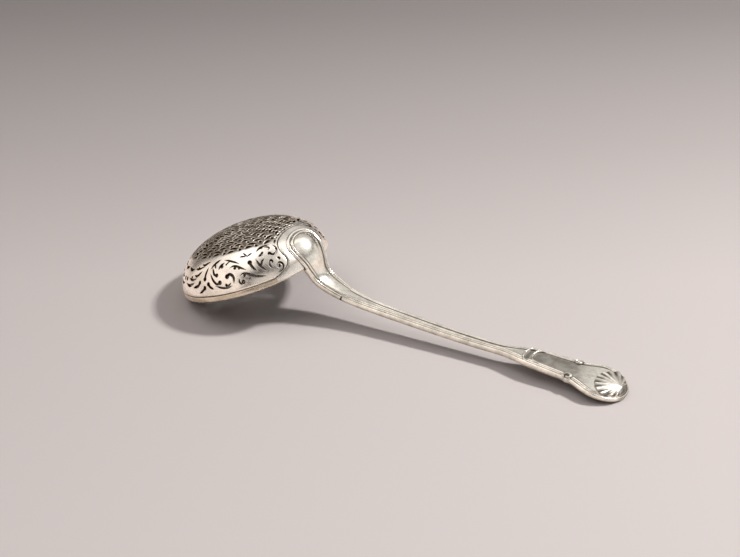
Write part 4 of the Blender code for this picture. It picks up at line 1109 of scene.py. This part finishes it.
# Stage: pale paper painted darker away from the eye (painted falloff of light) and given a painted glow that
# only the metal mirrors, a soft box on the right, weak fills, and cards that only the metal mirrors. A lamp
# is its name, degrees to the right of straight away from the camera, degrees over the floor, distance, size,
# power and colour, and True for a card.
stage = {"paper": ((-0.15, "#D3CCCC"), (0.05, "#C7C0C0"), (0.2, "#AFA9A9"), (0.4, "#8F8A8A"),
                   (0.6, "#807B7B")),
         "mirrored": 0.28, "eye": (math.radians(28.52), math.radians(29.38), 0.8), "lens": 85.43,
         "target": (-0.035455, 0.0374, -0.000309), "aim": (0.0, 0.0, 0.01),
         "lamps": (("softBox", 72, 51, 1.1, (0.13, 0.13), 9.8, "#FFFCF8"),
                   ("rightFill", 84, 54, 1.3, (1.7, 1.2), 4.3, "#FFFCF8"),
                   ("rightCard", 92, 10, 1.3, (2.9, 0.6), 4.7, "#FFFCF8", True),
                   ("leftCard", -105, 16, 1.3, (3.1, 0.95), 9.2, "#FFF2E6", True),
                   ("leftFill", -92, 54, 1.3, (1.9, 0.95), 5.2, "#FFF8F2"),
                   ("highCard", -66, 54, 1.3, (0.8, 0.7), 0.7, "#FFF8F2", True),
                   ("crestCard", -35, 72, 1.3, (0.9, 0.6), 0.8, "#FFFCF8", True),
                   ("topFill", -90, 80, 1.4, (1.2, 1.2), 2.3, "#FFFCF8"),
                   ("frontCard", 165, 22, 1.6, (1.3, 1.0), 2.6, "#FFF7EF", True),
                   ("backCard", 14, 30, 1.4, (1.3, 0.8), 1.9, "#FFFCF8", True),
                   ("overCard", 5, 60, 1.4, (1.5, 0.7), 1.5, "#FFFCF8", True))}


def makeFloor():
    floor = addShape(bpy.ops.mesh.primitive_circle_add, "paperFloor",
                     vertices=96, radius=4.0, fill_type="NGON")
    paper, tree, shader = newMaterial("matt paper")
    place = addNode(tree, "TexCoord", "Object")
    swing = stage["eye"][1]
    behind = addNode(tree, "VectorMath", "Value", {0: place, 1: (-math.sin(swing), math.cos(swing), 0.0)},
                     operation="DOT_PRODUCT")
    # the paper's colour darkens away from the eye: painted falloff of the light
    near, far = stage["paper"][0][0], stage["paper"][-1][0]
    colour = addNode(tree, "ValToRGB", "Color", {"Fac": mapRange(tree, behind, near, far)})
    shades = colour.node.color_ramp.elements
    while len(shades) < len(stage["paper"]):
        shades.new(0.5)
    for shade, (reach, hexColour) in zip(shades, stage["paper"]):
        shade.position = (reach - near) / (far - near)
        shade.color = linear(hexColour)
    fibres = {"Height": noise(tree, place, 0.9, 2.0), "Strength": 0.05, "Distance": 0.1 * mm}
    # the paper glows for glossy rays that have met no matt surface, a painted reflection that the metal's
    # lower sides mirror
    glossy = addNode(tree, "LightPath", "Is Glossy Ray")
    direct = calculate(tree, "LESS_THAN", glossy.node.outputs["Diffuse Depth"], 0.5)
    glow = calculate(tree, "MULTIPLY", calculate(tree, "MULTIPLY", glossy, direct), stage["mirrored"])
    feed(shader, {"Base Color": colour, "Normal": addNode(tree, "Bump", "Normal", fibres),
                  "Emission Strength": glow, "Emission Color": linear("#FFE9D6"),
                  "Roughness": 0.9, "Specular IOR Level": 0.1})
    floor.data.materials.append(paper)


def stand(item, right, up, back, place):
    item.matrix_world = Matrix([*zip(right, up, back, place), (0, 0, 0, 1)])


def makeCamera():
    tilt, swing, distance = stage["eye"]
    back = np.array((math.sin(swing) * math.cos(tilt), -math.cos(swing) * math.cos(tilt), math.sin(tilt)))
    right = np.array((math.cos(swing), math.sin(swing), 0.0))
    data = bpy.data.cameras.new("camera")
    data.sensor_width = 36.0
    data.lens = stage["lens"]
    camera = addObject("camera", data)
    stand(camera, right, np.cross(back, right), back, stage["target"] + distance * back)
    bpy.context.scene.camera = camera


def makeLight(name, swing, rise, distance, size, power, colour, card=False):
    turn, rise = math.radians(swing) - stage["eye"][1], math.radians(rise)
    out = np.array((math.sin(turn) * math.cos(rise), math.cos(turn) * math.cos(rise), math.sin(rise)))
    side = np.cross((0, 0, 1), out)
    side /= np.linalg.norm(side)
    data = bpy.data.lights.new(name, "AREA")
    data.shape = "RECTANGLE"
    data.size, data.size_y = size
    data.energy = power
    data.color = linear(colour)[:3]
    lamp = addObject(name, data)
    stand(lamp, side, np.cross(out, side), out, stage["aim"] + out * distance)
    lamp.visible_diffuse = not card


makeFloor()
makeCamera()
for lamp in stage["lamps"]:
    makeLight(*lamp)
world = bpy.context.scene.world or bpy.data.worlds.new("studio")
bpy.context.scene.world = world
world.use_nodes = True
feed(world.node_tree.nodes["Background"], {"Color": linear("#4E4C4B"), "Strength": 1.0})
bpy.context.scene.view_settings.view_transform = "Standard"
print("stage lit")
